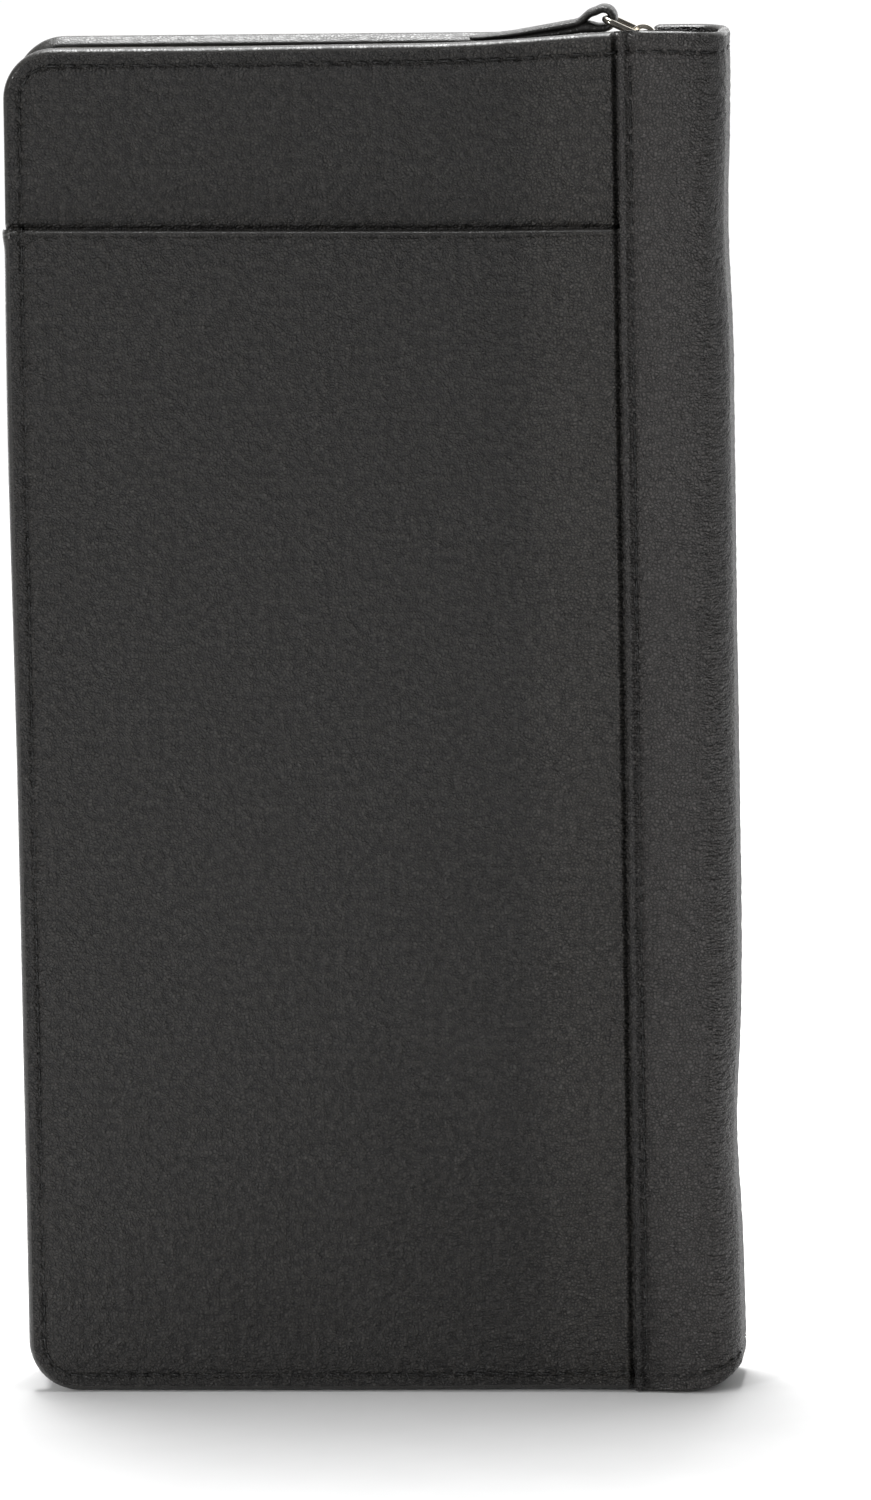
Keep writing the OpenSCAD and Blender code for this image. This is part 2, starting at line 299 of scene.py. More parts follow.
def flat_place(tree, on_cad):
    """Where a point lies, in millimetres: from the UV, or from the object for a CAD piece."""
    place = add_node(tree, "ShaderNodeTexCoord")
    if not on_cad:
        return place.outputs["UV"]
    scaled = add_node(tree, "ShaderNodeVectorMath", {1: (1000, 1000, 1000)},
                      {0: place.outputs["Object"]}, operation="MULTIPLY")
    return scaled.outputs[0]


def mix_colours(tree, factor, first, second):
    """The colour first where factor is 0 and second where it is 1."""
    mixed = add_node(tree, "ShaderNodeMix", data_type="RGBA")
    mixed.inputs["A"].default_value = (0, 0, 0, 1)
    for socket, colour in ((6, first), (7, second)):
        if isinstance(colour, str):
            mixed.inputs[socket].default_value = linear(colour)
        else:
            tree.links.new(colour, mixed.inputs[socket])
    tree.links.new(factor, mixed.inputs[0])
    return mixed.outputs[2]


def combine(tree, operation, a, b):
    """One arithmetic step on two values, each a number or an output."""
    made = add_node(tree, "ShaderNodeMath", operation=operation)
    for i, value in enumerate((a, b)):
        if isinstance(value, (int, float)):
            made.inputs[i].default_value = value
        else:
            tree.links.new(value, made.inputs[i])
    return made.outputs[0]


def add_up(tree, *terms):
    """The sum of several outputs, each times its weight."""
    total = combine(tree, "MULTIPLY", *terms[0])
    for output, weight in terms[1:]:
        total = combine(tree, "ADD", total, combine(tree, "MULTIPLY", output, weight))
    return total


def remap(tree, value, from_low, from_high, to_low, to_high):
    """Takes one range to another, softly, and holds its ends."""
    made = add_node(tree, "ShaderNodeMapRange", {
        "From Min": from_low, "From Max": from_high, "To Min": to_low, "To Max": to_high,
    }, {"Value": value}, interpolation_type="SMOOTHSTEP")
    return made.outputs[0]


print("material helpers ready")

# %% [markdown]
# ## Black pebbled cowhide
# Drum-dyed, full-grain cowhide: the drum shrinks its grain to fine pebbles. They are about
# half a millimetre across where the hide is tight. Where it is loose, towards the spine and the
# foot, they draw out into short wrinkles, about 2 mm long and 0.7 mm apart, that climb a little
# to the right. The dye is nearly even, so the eye reads the grain almost only by its gloss: a
# soft gleam on each pebble's top and a dull line round it. The colour holds painted shade too:
# it goes nearly black in the crease round each pebble and darker in its pores. Leather's IOR is near 1.5.
#
# Two bands, the leather by the flap and the round of the spine, have a painted highlight: they are
# painted paler than the rest, and are glossier. The rolled edges are burnished, their pebbles
# pressed nearly flat, so there the black is greyer and shines more.

# %% Leather materials
PEBBLE_MM = 0.6
WRINKLE_LONG_MM, WRINKLE_APART_MM = 2.1, 0.72
WRINKLE_CLIMB = 12
# A leather with a painted highlight band has its grain tone scaled by this, under the band
TONE_BELOW_HIGHLIGHT = 0.43


def leather(name, colour, crease_shade_colour, on_cad=False, looseness=0.0, depth_mm=0.3, roughness=0.4, painted_highlight=None):
    """Pebbled leather. looseness draws its pebbles out into wrinkles; the last argument is a band of
    painted highlight, paler and glossier than the rest, given by its middle, width, lean and strength."""
    material, tree, shader = new_material(name, IOR=1.5, Specular_IOR_Level=0.5)
    place = flat_place(tree, on_cad)
    warped = place
    for size, amount in ((5.0, 1.6), (0.9, 0.34)):
        drift = add_node(tree, "ShaderNodeTexNoise", {"Scale": 1 / size, "Detail": 2.0}, {"Vector": place})
        bent = add_node(tree, "ShaderNodeVectorMath", {1: (amount, amount, amount)},
                        {0: drift.outputs["Color"]}, operation="MULTIPLY")
        warped = add_node(tree, "ShaderNodeVectorMath", None, {0: warped, 1: bent.outputs[0]},
                          operation="ADD").outputs[0]

    def pebbles(long_mm, apart_mm, climb, soft):
        turned = add_node(tree, "ShaderNodeMapping", {
            "Rotation": (0, 0, math.radians(climb)), "Scale": (1 / long_mm, 1 / apart_mm, 1 / apart_mm),
        }, {"Vector": warped})
        cells = add_node(tree, "ShaderNodeTexVoronoi", {"Scale": 1.0, "Randomness": 1.0},
                         {"Vector": turned.outputs[0]}, feature="DISTANCE_TO_EDGE",
                         voronoi_dimensions="3D" if on_cad else "2D")
        return remap(tree, cells.outputs["Distance"], 0.0, soft, 0.0, 1.0)

    # The hide is looser towards the spine and the foot, in patches
    parts = add_node(tree, "ShaderNodeSeparateXYZ", None, {0: place})
    patches = add_node(tree, "ShaderNodeTexNoise", {"Scale": 0.03, "Detail": 3.0}, {"Vector": place})
    up = parts.outputs[2] if on_cad else parts.outputs[1]
    loose = add_up(tree, (parts.outputs[0], 0.0075), (up, -0.0022), (patches.outputs[0], 1.0))
    loose = remap(tree, combine(tree, "ADD", loose, looseness), 0.1, 0.75, 0.0, 1.0)
    fine = pebbles(PEBBLE_MM, PEBBLE_MM, 0, 0.42)
    drawn = pebbles(WRINKLE_LONG_MM, WRINKLE_APART_MM, WRINKLE_CLIMB, 0.4)
    folds = add_node(tree, "ShaderNodeMapping", {
        "Rotation": (0, 0, math.radians(WRINKLE_CLIMB + 8)), "Scale": (0.16, 0.62, 0.62),
    }, {"Vector": warped})
    folds = add_node(tree, "ShaderNodeTexNoise", {"Scale": 1.0, "Detail": 3.0}, {"Vector": folds.outputs[0]})
    pores = add_node(tree, "ShaderNodeTexNoise", {"Scale": 4.0, "Detail": 3.0, "Roughness": 0.6},
                     {"Vector": place})
    swell = add_node(tree, "ShaderNodeTexNoise", {"Scale": 0.7, "Detail": 3.0}, {"Vector": place})

    height = add_up(tree, (fine, 0.5), (combine(tree, "MULTIPLY", drawn, loose), 1.0),
                    (combine(tree, "MULTIPLY", folds.outputs[0], loose), 4.0),
                    (pores.outputs[0], 0.5), (swell.outputs[0], 4.0))
    bump = add_node(tree, "ShaderNodeBump", {"Strength": 1.0, "Distance": depth_mm * 0.001}, {"Height": height})

    # Painted shade: the colour goes nearly black in the crease round each pebble and darker in the pores, where
    # the bump sinks; the mottle makes it paler where the swells rise
    shade = combine(tree, "MULTIPLY", fine, remap(tree, pores.outputs[0], 0.3, 0.7, 0.6, 1.0))
    mottle = remap(tree, swell.outputs[0], 0.35, 0.65, -0.2, 0.3)
    tone = combine(tree, "ADD", shade, mottle)
    if painted_highlight:
        # The band is a painted highlight: paler than the rest, and glossier, and it leans towards the spine at the
        # foot
        middle, width, lean, strength = painted_highlight
        across = add_up(tree, (parts.outputs[0], 1.0), (parts.outputs[1], lean))
        across = combine(tree, "DIVIDE", combine(tree, "SUBTRACT", across, middle), width)
        band = remap(tree, combine(tree, "MULTIPLY", across, across), 0.0, 1.0, strength, 0.0)
        band = combine(tree, "MULTIPLY", band, remap(tree, shade, 0.0, 1.0, 0.3, 1.2))
        tone = add_up(tree, (tone, TONE_BELOW_HIGHLIGHT), (band, 1.0))
    tree.links.new(mix_colours(tree, tone, crease_shade_colour, colour), shader.inputs["Base Color"])
    tree.links.new(remap(tree, tone, 0.0, 1.0, roughness + 0.16, roughness - 0.06), shader.inputs["Roughness"])
    tree.links.new(bump.outputs[0], shader.inputs["Normal"])
    return material


# The colours of the leathers with a painted highlight band are those of the band's palest spots
cover_leather = leather("black_pebbled_cowhide", "#4c4945", "#0f0e0e", painted_highlight=(FLAP_X - 5, 15, 0, 0.3))
spine_cowhide = leather("black_cowhide_spine", "#4c4947", "#121111", looseness=-0.1, roughness=0.37,
                        painted_highlight=(FLAP_X + 12.5, 13, 0.02, 0.55))
cad_leather = leather("black_cowhide_small_parts", "#302f2d", "#121110", on_cad=True)
pocket_leather = leather("black_smooth_calf", "#292826", "#1d1c1b", looseness=-0.7, depth_mm=0.07)
rim_leather = leather("black_cowhide_polished_edge", "#3a3937", "#2a2928", looseness=-0.7, depth_mm=0.03,
                      roughness=0.3)
print("leathers:", cover_leather.name, spine_cowhide.name, pocket_leather.name, rim_leather.name)

# %% [markdown]
# ## Thread, cloth, zipper and metal
# - **Thread:** bonded nylon, black. Its two plies are about 0.2 mm wide, which gives a faint
#   slanted gleam along each stitch.
# - **Lining:** black polyester twill. Its real threads are 0.15 mm apart, too fine to show, so
#   the diagonal is drawn at 0.6 mm.
# - **Zipper tape:** woven polyester with ribs 0.5 mm apart along its length.
# - **Zipper coil:** nylon monofilament with a soft gloss, IOR 1.53.
# - **Slider, ring and stops:** zinc alloy plated with bright nickel. It is a little warm, and
#   almost a mirror, with a faint haze from handling.

# %% Thread, cloth, zipper and metal materials
PLY_MM = 0.42
TWILL_MM = 0.6
TAPE_RIB_MM = 0.5


def ribbed(name, colour, gap_shade_colour, period, angle, roughness, depth_mm, on_cad=False, sheen=0.0, ior=1.5):
    """Parallel ribs, as in twill, tape or laid thread, with a little unevenness."""
    material, tree, shader = new_material(name, IOR=ior, Sheen_Weight=sheen)
    place = flat_place(tree, on_cad)
    turned = add_node(tree, "ShaderNodeMapping", {"Rotation": (0, 0, math.radians(angle))}, {"Vector": place})
    # A wave of scale 1 repeats every 2 pi / 20 units
    ribs = add_node(tree, "ShaderNodeTexWave", {"Scale": 0.314 / period, "Distortion": 0.4, "Detail": 1.0},
                    {"Vector": turned.outputs[0]})
    fuzz = add_node(tree, "ShaderNodeTexNoise", {"Scale": 2.2 / period, "Detail": 3.0}, {"Vector": place})
    height = combine(tree, "ADD", ribs.outputs["Fac"], combine(tree, "MULTIPLY", fuzz.outputs[0], 0.5))
    bump = add_node(tree, "ShaderNodeBump", {"Distance": depth_mm * 0.001}, {"Height": height})
    # Painted shade: the colour darkens in the gaps between the ribs
    tree.links.new(mix_colours(tree, ribs.outputs["Fac"], gap_shade_colour, colour), shader.inputs["Base Color"])
    rough = remap(tree, fuzz.outputs[0], 0.2, 0.8, roughness - 0.08, roughness + 0.1)
    tree.links.new(rough, shader.inputs["Roughness"])
    tree.links.new(bump.outputs[0], shader.inputs["Normal"])
    return material


thread = ribbed("bonded_nylon_thread", "#171716", "#080808", PLY_MM, 35, 0.4, 0.05)
lining_cloth = ribbed("black_polyester_twill", "#262627", "#121213", TWILL_MM, 45, 0.62, 0.05, sheen=0.15)
tape_cloth = ribbed("woven_zipper_tape", "#202021", "#0c0c0d", TAPE_RIB_MM, 0, 0.7, 0.08, sheen=0.1)
elastic_band = ribbed("covered_elastic", "#1f1f20", "#0b0b0c", 1.0, 90, 0.7, 0.15, sheen=0.1)


def speckled(name, colour, other_colour, size_mm, roughness, spread, depth_mm, **shader_values):
    """A material whose colour, gloss and height drift a little, with spots size_mm across."""
    material, tree, shader = new_material(name, **shader_values)
    place = flat_place(tree, on_cad=True)
    spots = add_node(tree, "ShaderNodeTexNoise", {"Scale": 1 / size_mm, "Detail": 4.0}, {"Vector": place})
    bump = add_node(tree, "ShaderNodeBump", {"Distance": depth_mm * 0.001}, {"Height": spots.outputs[0]})
    mixed = mix_colours(tree, remap(tree, spots.outputs[0], 0.3, 0.7, 0.0, 1.0), other_colour, colour)
    tree.links.new(mixed, shader.inputs["Base Color"])
    tree.links.new(remap(tree, spots.outputs[0], 0.3, 0.7, roughness - spread, roughness + spread),
                   shader.inputs["Roughness"])
    tree.links.new(bump.outputs[0], shader.inputs["Normal"])
    return material


coil_nylon = speckled("nylon_monofilament", "#1c1c1d", "#121212", 0.8, 0.3, 0.06, 0.01, IOR=1.53)
nickel = speckled("bright_nickel_plate", "#d5cfc4", "#b9b2a6", 1.2, 0.16, 0.06, 0.003, Metallic=1.0)
greyboard = speckled("bookbinding_greyboard", "#8d8a84", "#6f6c66", 0.5, 0.85, 0.05, 0.05, IOR=1.5)
film = speckled("clear_vinyl_film", "#f3f4f4", "#e9ebec", 9.0, 0.09, 0.03, 0.02, IOR=1.53,
                Transmission_Weight=0.92)
print("materials made:", len(bpy.data.materials))

# %% [markdown]
# ## The covers
# On the real case, each cover is cowhide pasted over a board. The leather turns round the
# board's edge and is sewn 3 mm in, so it bulges a little between the edge and the seam, dips at
# the seam, and rises again over the board.
#
# A box with bevels can't show that. Instead, a grid is laid over the cover's outline, and the
# outward place of each point follows from how far it is from the edge. Rings of points then
# roll over the edge, and a second grid closes the inside of the leather.

# %% Outline of a cover
STITCH_PITCH = 3.0
SEAM = 3.0
SEAM_GAP = 0.8
RIM_R = 1.15
SKIN = 0.9


def edge_distance(x, z, top=COVER_H):
    """How far a point is from the sewn edge, whose open-side corners are rounded."""
    from_side, from_end = x - OPEN_X, np.minimum(z, top - z)
    corner = CORNER_R - np.hypot(CORNER_R - from_side, CORNER_R - from_end)
    in_corner = (from_side < CORNER_R) & (from_end < CORNER_R)
    return np.maximum(np.where(in_corner, corner, np.minimum(from_side, from_end)), 0)


def plan(xs, zs, radius, round_top=True):
    """A grid of x and z whose open-side corners are rounded: squares of the grid become quarter discs."""
    x, z = np.meshgrid(xs, zs)
    a = np.clip((xs[0] + radius - x) / radius, 0, 1)
    b = np.clip((zs[0] + radius - z) / radius, 0, 1)
    if round_top:
        b = b - np.clip((z - zs[-1] + radius) / radius, 0, 1)
    foot = np.where(b >= 0, zs[0] + radius, zs[-1] - radius)
    round_x = np.where(a > 0, xs[0] + radius - radius * a * np.sqrt(1 - b * b / 2), x)
    round_z = np.where(b != 0, foot - radius * b * np.sqrt(1 - a * a / 2), z)
    return round_x, round_z


def rolled(distance, radius):
    """How far a surface has sunk at a distance from the edge that it rolls over."""
    return radius - np.sqrt(np.maximum(radius ** 2 - (radius - np.minimum(distance, radius)) ** 2, 0))


def end_lift(x, z, side):
    """The front's ends rise to meet the spine. The back stands half a millimetre higher, and dips beside it."""
    if side == BACK:
        return (0.5 - 1.1 * smooth((x - 36.5) / 7)) * smooth((z - 190) / 48)
    top = 0.25 * smooth((x + 30) / 40) + 1.9 * smooth((x + 2) / 52) ** 2
    foot = 0.25 * smooth((x + 10) / 38)
    return top * smooth((z - 190) / 48) * (0.68 + 0.32 * smooth((z - 236.2) / 3)) + foot * smooth((40 - z) / 40)


def side_swell(x, z):
    """The open side isn't quite straight: it stands out a little above the middle."""
    return 0.42 * ridge(z - 172, 42) * np.exp(-(x - OPEN_X) / 3)


print("outline ready, seam", SEAM, "mm from the edge")

# %% [markdown]
# The front has a slip pocket: one large piece of the same leather, with an open lip across the
# top. The lip is turned under, which leaves a fine crease just below it. It isn't quite level.
# The leather behind it is pressed in along the lip.

# %% Height of the leather over the board
LIP_CREASE = 0.95


def lip_z(x):
    """Height of the slip pocket's lip, which falls a millimetre towards the spine."""
    return POCKET_H + 0.4 - 1.0 * (x - OPEN_X) / (FLAP_X - OPEN_X)


def ripple(x, z, side):
    """Slow unevenness of the hide over its board."""
    return 0.16 * waves(x, z, 75, 3.1 * side) + 0.05 * waves(x, z, 17, 7.7 * side)


def stitch_phase(reach):
    """1 at the middle of each stitch and -1 between two stitches."""
    return np.cos(2 * math.pi * (reach - STITCH_PITCH / 2) / STITCH_PITCH)


def seam_reach(x, z):
    """How far along the sewn edge a point is, from the seam's start at the foot of the flap."""
    foot, bend = FLAP_X - SEAM_GAP - OPEN_X - CORNER_R, (CORNER_R - SEAM) * math.pi / 2
    on_side = foot + bend + z - CORNER_R
    on_head = foot + 2 * bend + COVER_H - 3 * CORNER_R + x - OPEN_X
    ends = np.where(z < COVER_H / 2, FLAP_X - SEAM_GAP - x, on_head)
    return np.where(x - OPEN_X < np.minimum(z, COVER_H - z), on_side, ends)


def board_height(x, z, side, distance):
    """Outward offset of leather over a board, without the rolled edge."""
    pull = stitch_phase(seam_reach(x, z))
    channel = (0.42 + 0.2 * pull) * ridge(distance - SEAM, 0.42)
    raised = 0.25 * smooth((distance - SEAM) / 2.6) - channel - 0.15 * smooth(1 - distance)
    pucker = 0.1 * waves(x, z, 2.6, 5.0) * ridge(distance - SEAM - 1.2, 1.6)
    pucker = pucker - 0.13 * pull * ridge(distance - SEAM - 0.8, 0.5)
    # Beside the flap the leather swells a little, then rolls down under it
    under_flap = 1.15 * smooth((x - FLAP_X + 1.3) / 0.9) - 0.4 * smooth((x - FLAP_X + 11) / 9)
    return raised + pucker + ripple(x, z, side) * smooth(distance / 12) - under_flap


def cover_y(x, z, side):
    """|y| of a cover's outer face."""
    distance = edge_distance(x, z)
    level = BASE_Y if side == FRONT else FACE_Y
    pressed = 0.75 * ridge(z - lip_z(x) - 0.1, 0.65) if side == FRONT else 0
    return level + board_height(x, z, side, distance) - pressed - rolled(distance, RIM_R)


def pocket_y(x, z):
    """|y| of the slip pocket's outer face."""
    distance = edge_distance(x, z, top=9999)
    below_lip = lip_z(x) - z
    across = np.clip((x - OPEN_X) / (FLAP_X - OPEN_X), 0, 1)
    gape = 0.45 * np.sin(math.pi * across) * ridge(below_lip, 22)
    hem = 0.1 * ridge(below_lip - 0.4, 0.5) - 0.2 * ridge(below_lip - LIP_CREASE, 0.17)
    height = board_height(x, z, FRONT, distance) + gape + hem
    return FACE_Y + height - rolled(distance, RIM_R + 0.3) - rolled(np.maximum(below_lip, 0), 0.6)


print("front face stands", round(float(FACE_Y), 1), "mm from the middle")

# %% Build a leather skin
# The leather's way over the edge: how far in from the outline, and how far from the case's middle.
# The zipper has pressed the back's edge to a slope.
EDGE_ROLL = {
    FRONT: [(0, 9.1), (0.08, 8.8), (0.48, 8.5), (0.9, 8.2), (1.35, 8.02), (1.7, 8.2), (1.85, 8.9), (1.5, 9.6)],
    BACK: [(0, 9.9), (0.08, 9.6), (0.32, 9.25), (0.62, 8.9), (0.92, 8.55), (1.22, 8.2), (1.45, 8.05),
           (1.7, 8.2), (1.85, 8.9), (1.5, 9.6)],
}


def skin(name, side, outer, ring_profile, inner, material, round_top=True, burnished=0.95):
    """A closed leather skin from an outer grid, rings that roll over its sewn edge, and an inner grid."""
    rows, columns = outer.shape[:2]
    index = np.arange(rows * columns).reshape(rows, columns)
    edge = [index[0, ::-1], index[1:, 0]] + ([index[-1, 1:]] if round_top else [])
    edge = np.concatenate(edge)
    path = outer.reshape(-1, 3)[edge]
    _, inward = path_frame(path[:, [0, 2]])

    points, faces = [outer.reshape(-1, 3)], grid_faces(rows, columns)
    grid_size = len(faces)
    uv = [outer.reshape(-1, 3)[:, [0, 2]]]
    previous, caps, count, travel = edge, [[edge[0]], [edge[-1]]], rows * columns, 0.0
    last_n, last_y = 0.0, None
    for n, y in ring_profile:
        travel += math.hypot(n - last_n, (y - last_y) if last_y is not None else 0.8)
        last_n, last_y = n, y
        points.append(np.stack([path[:, 0] + n * inward[:, 0], np.full(len(edge), side * y),
                                path[:, 2] + n * inward[:, 1]], -1))
        uv.append(path[:, [0, 2]] - inward * travel)
        current = np.arange(len(edge)) + count
        faces += np.stack([previous[:-1], previous[1:], current[1:], current[:-1]], -1).tolist()
        caps[0].append(current[0])
        caps[1].append(current[-1])
        previous, count = current, count + len(edge)
    ring_end = len(faces)
    points.append(inner.reshape(-1, 3))
    uv.append(inner.reshape(-1, 3)[:, [0, 2]])
    faces += grid_faces(rows, columns, start=count)
    current = edge + count
    faces += np.stack([previous[:-1], previous[1:], current[1:], current[:-1]], -1).tolist()
    caps[0].append(current[0])
    caps[1].append(current[-1])

    smooth_count = len(faces)
    sides = [index[:, -1]] + ([] if round_top else [index[-1, :]])
    for line in sides:
        faces += np.stack([line[:-1], line[1:], line[1:] + count, line[:-1] + count], -1).tolist()
    faces += [[int(i) for i in cap] for cap in caps]
    points = np.concatenate(points)
    points[:, 2] += end_lift(points[:, 0], points[:, 2], side)
    made = add_mesh(name, points, faces, material, np.concatenate(uv))
    flat = [i < smooth_count for i in range(len(made.data.polygons))]
    made.data.polygons.foreach_set("use_smooth", flat)
    # The rolled edge is burnished, so it has its own smooth material
    made.data.materials.append(rim_leather)
    flat_x, flat_z = outer[..., 0].ravel(), outer[..., 2].ravel()
    near_rim = edge_distance(flat_x, flat_z, COVER_H if round_top else 9999) < burnished
    if not round_top:
        near_rim |= lip_z(flat_x) - flat_z < LIP_CREASE / 2
    corners = np.array(faces[:grid_size])
    on_rim = near_rim[corners].all(axis=1).tolist()
    made.data.polygons.foreach_set("material_index", [
        int(on_rim[i] if i < grid_size else i < ring_end) for i in range(len(made.data.polygons))])
    close_normals(made)
    return made


def inset_plan(xs, zs, inset, round_top=True):
    """The same grid, drawn in by inset along the sewn edge."""
    width, height = xs[-1] - xs[0], zs[-1] - zs[0]
    inner_xs = xs[0] + inset + (xs - xs[0]) * (width - inset) / width
    inner_zs = zs[0] + inset + (zs - zs[0]) * (height - (2 if round_top else 1) * inset) / height
    return plan(inner_xs, inner_zs, CORNER_R - inset, round_top)


def grid_xs(tuck):
    """Places across a cover, closer together at its edge and where it rolls down beside the flap."""
    beside_flap = np.arange(FLAP_X - 2, FLAP_X + 1, 0.2)
    return np.unique(np.concatenate([spaced(OPEN_X + tuck, PANEL_X, 0.3, 1.1, 5), beside_flap]))


def cover_skin(name, side, tuck):
    """A cover's leather; tuck is how far it keeps inside the slip pocket's edge."""
    xs = grid_xs(tuck)
    zs = spaced(tuck, COVER_H, 0.3, 1.1, 5)
    if side == FRONT:
        zs = np.unique(np.concatenate([zs, np.arange(POCKET_H - 2, POCKET_H + 3, 0.25)]))
    x, z = plan(xs, zs, CORNER_R - tuck)
    outer = np.stack([x - side_swell(x, z), side * cover_y(x, z, side), z], -1)
    board_y = BASE_Y - SKIN if side == FRONT else 10.5
    inner_x, inner_z = inset_plan(xs, zs, 1.3 - tuck)
    inner = np.stack([inner_x, np.full_like(inner_x, side * board_y), inner_z], -1)
    return skin(name, side, outer, EDGE_ROLL[side], inner, cover_leather)


front_cover = cover_skin("front_cover_skin", FRONT, 0.15)
back_cover = cover_skin("back_cover_skin", BACK, 0.0)
for piece, body in ((front_cover, "front_cover"), (back_cover, "back_cover")):
    belongs(piece, body, "black_leather", body + "_leather")
    print(piece.name, len(piece.data.vertices), "points")

# %% Slip pocket


def slip_pocket():
    xs = grid_xs(0)
    zs = spaced(0, POCKET_H, 0.22, 1.1, 5)
    x, z = plan(xs, zs, CORNER_R, round_top=False)
    z = z + (lip_z(x) - POCKET_H) * smooth((z - 150) / (POCKET_H - 150))
    nearly_lip = ridge(lip_z(x) - z - 0.8, 1.8)
    notch = 0.35 * nearly_lip * np.exp(-(x - OPEN_X) / 2)
    outer = np.stack([x - notch - side_swell(x, z), -pocket_y(x, z), z], -1)
    inner_x, inner_z = inset_plan(xs, zs, SKIN, round_top=False)
    inner_z = inner_z + (lip_z(inner_x) - POCKET_H) * smooth((inner_z - 150) / (POCKET_H - 150))
    below_lip = lip_z(inner_x) - inner_z
    inner_y = FACE_Y + board_height(inner_x, inner_z, FRONT, 99.0) - 0.75 + rolled(np.maximum(below_lip, 0), 0.3)
    gape = 0.45 * np.sin(math.pi * np.clip((inner_x - OPEN_X) / (FLAP_X - OPEN_X), 0, 1)) * ridge(below_lip, 22)
    inner = np.stack([inner_x, -(inner_y + gape), inner_z], -1)
    return skin("slip_pocket_skin", FRONT, outer, [(0, 9.75), (0.15, 9.5), (0.55, 9.4), (0.85, 9.55)],
                inner, cover_leather, round_top=False)


pocket = slip_pocket()
belongs(pocket, "front_cover", "black_leather", "front_slip_pocket")
print("slip pocket opening at", round(POCKET_H, 1), "mm")

# %% [markdown]
# ## The spine
# One strip of leather goes round the spine and laps over both covers. Its long edges are turned
# under, so they stand up as a narrow bead, with a seam beside it. The strip bends at the spine's
# corners when the case opens, so each half is a piece of its own; both are made as the closed case has them.
# The two halves meet on the flat of the spine, where nothing moves.
#
# The strip is a grid over the section's length and its height. Each point is pushed along the
# section's own normal by the bead, the seams, the soft hollows of handling, and fine wrinkles.

# %% Section of the spine leather
BEAD = 1.5
FLAP_SEAM = 2.15
SPINE_TOP_SEAM, SPINE_FOOT_SEAM = 3.5, 2.9
SPINE_SKIN = 0.8
FLAP_RUN = SPINE_X - SPINE_R - FLAP_X
HALF_LENGTH = FLAP_RUN + SPINE_R * math.pi / 2 + CASE_Y - SPINE_R


def spine_section(s, side):
    """Point and outward normal, in x and y, at a distance s from the flap's free edge."""
    angle = np.clip((s - FLAP_RUN) / SPINE_R, 0, math.pi / 2)
    tail = np.maximum(s - FLAP_RUN - SPINE_R * math.pi / 2, 0)
    normal = np.stack([np.sin(angle), side * np.cos(angle)], -1)
    centre = np.stack([np.minimum(FLAP_X + s, SPINE_X - SPINE_R), np.full_like(s, side * (CASE_Y - SPINE_R))], -1)
    point = centre + SPINE_R * normal
    point[..., 1] -= side * tail
    return point, normal


def spine_ends(s, side):
    """Height of the spine leather's foot and top: the foot lifts towards the spine, the back's top drops."""
    if side == FRONT:
        top = SPINE_H + 0.95 - 0.5 * smooth((s - 9) / 11)
    else:
        top = SPINE_H + 0.1 - 1.9 * (1 - smooth((s - 3.6) / 2.2))
    return 0.25 + 3.3 * smooth((s - 6) / 17) ** 1.7, top


def hollow(z):
    """How far handling has pressed the flat of the spine in."""
    return 0.45 + 0.75 * ridge(z - 207, 17) + 1.1 * ridge(z - 45, 16) - 0.15 * ridge(z - 85, 25)


def spine_height(s, z, side):
    """Outward offset of the spine leather's outer face."""
    foot, top = spine_ends(s, side)
    from_foot, from_top = z - foot, top - z
    over_bend = smooth((s - 12) / 9)
    round_s = s if side == FRONT else 2 * HALF_LENGTH - s
    bead = 0.55 * np.sqrt(np.clip(1 - ((s - BEAD / 2) / (BEAD / 2)) ** 2, 0, 1))
    pull = stitch_phase(z - SPINE_FOOT_SEAM - 0.6)
    bead = bead - (0.3 + 0.16 * pull) * ridge(s - FLAP_SEAM, 0.36)
    bead = bead - 0.1 * pull * ridge(s - FLAP_SEAM - 0.6, 0.45)
    past_crown = smooth((s - 11) / 7)
    swell = 0.95 * np.sin(math.pi / 2 * np.clip((s - 1.5) / 9.5, 0, 1)) * (1 - past_crown)
    swell = swell + 0.35 * past_crown - 0.3
    rows = ridge(from_top - SPINE_TOP_SEAM, 0.4) + ridge(from_foot - SPINE_FOOT_SEAM, 0.4)
    rows = -(0.36 + 0.14 * stitch_phase(s - 0.4)) * rows
    hollows = -hollow(z)
    ends = -0.4 * smooth(1 - from_top / 1.4) ** 2 - 0.5 * smooth(1 - from_foot / 1.8) ** 2
    wrinkles = 0.06 * waves(round_s / 4.5, z / 1.25, 1.0, 2.2) + 0.03 * waves(round_s / 2.4, z / 0.8, 1.0, 8.1)
    slow = 0.1 * waves(round_s, z, 22, 4.4) * smooth((s - 3) / 6)
    # Above the slip pocket the flap lies lower, on the cover itself
    lower = -0.6 * smooth((z - POCKET_H) / 7) * (1 - smooth(s / 13)) if side == FRONT else 0
    return bead + swell + rows + (hollows + ends) * over_bend + wrinkles * smooth((s - 10) / 7) + slow + lower


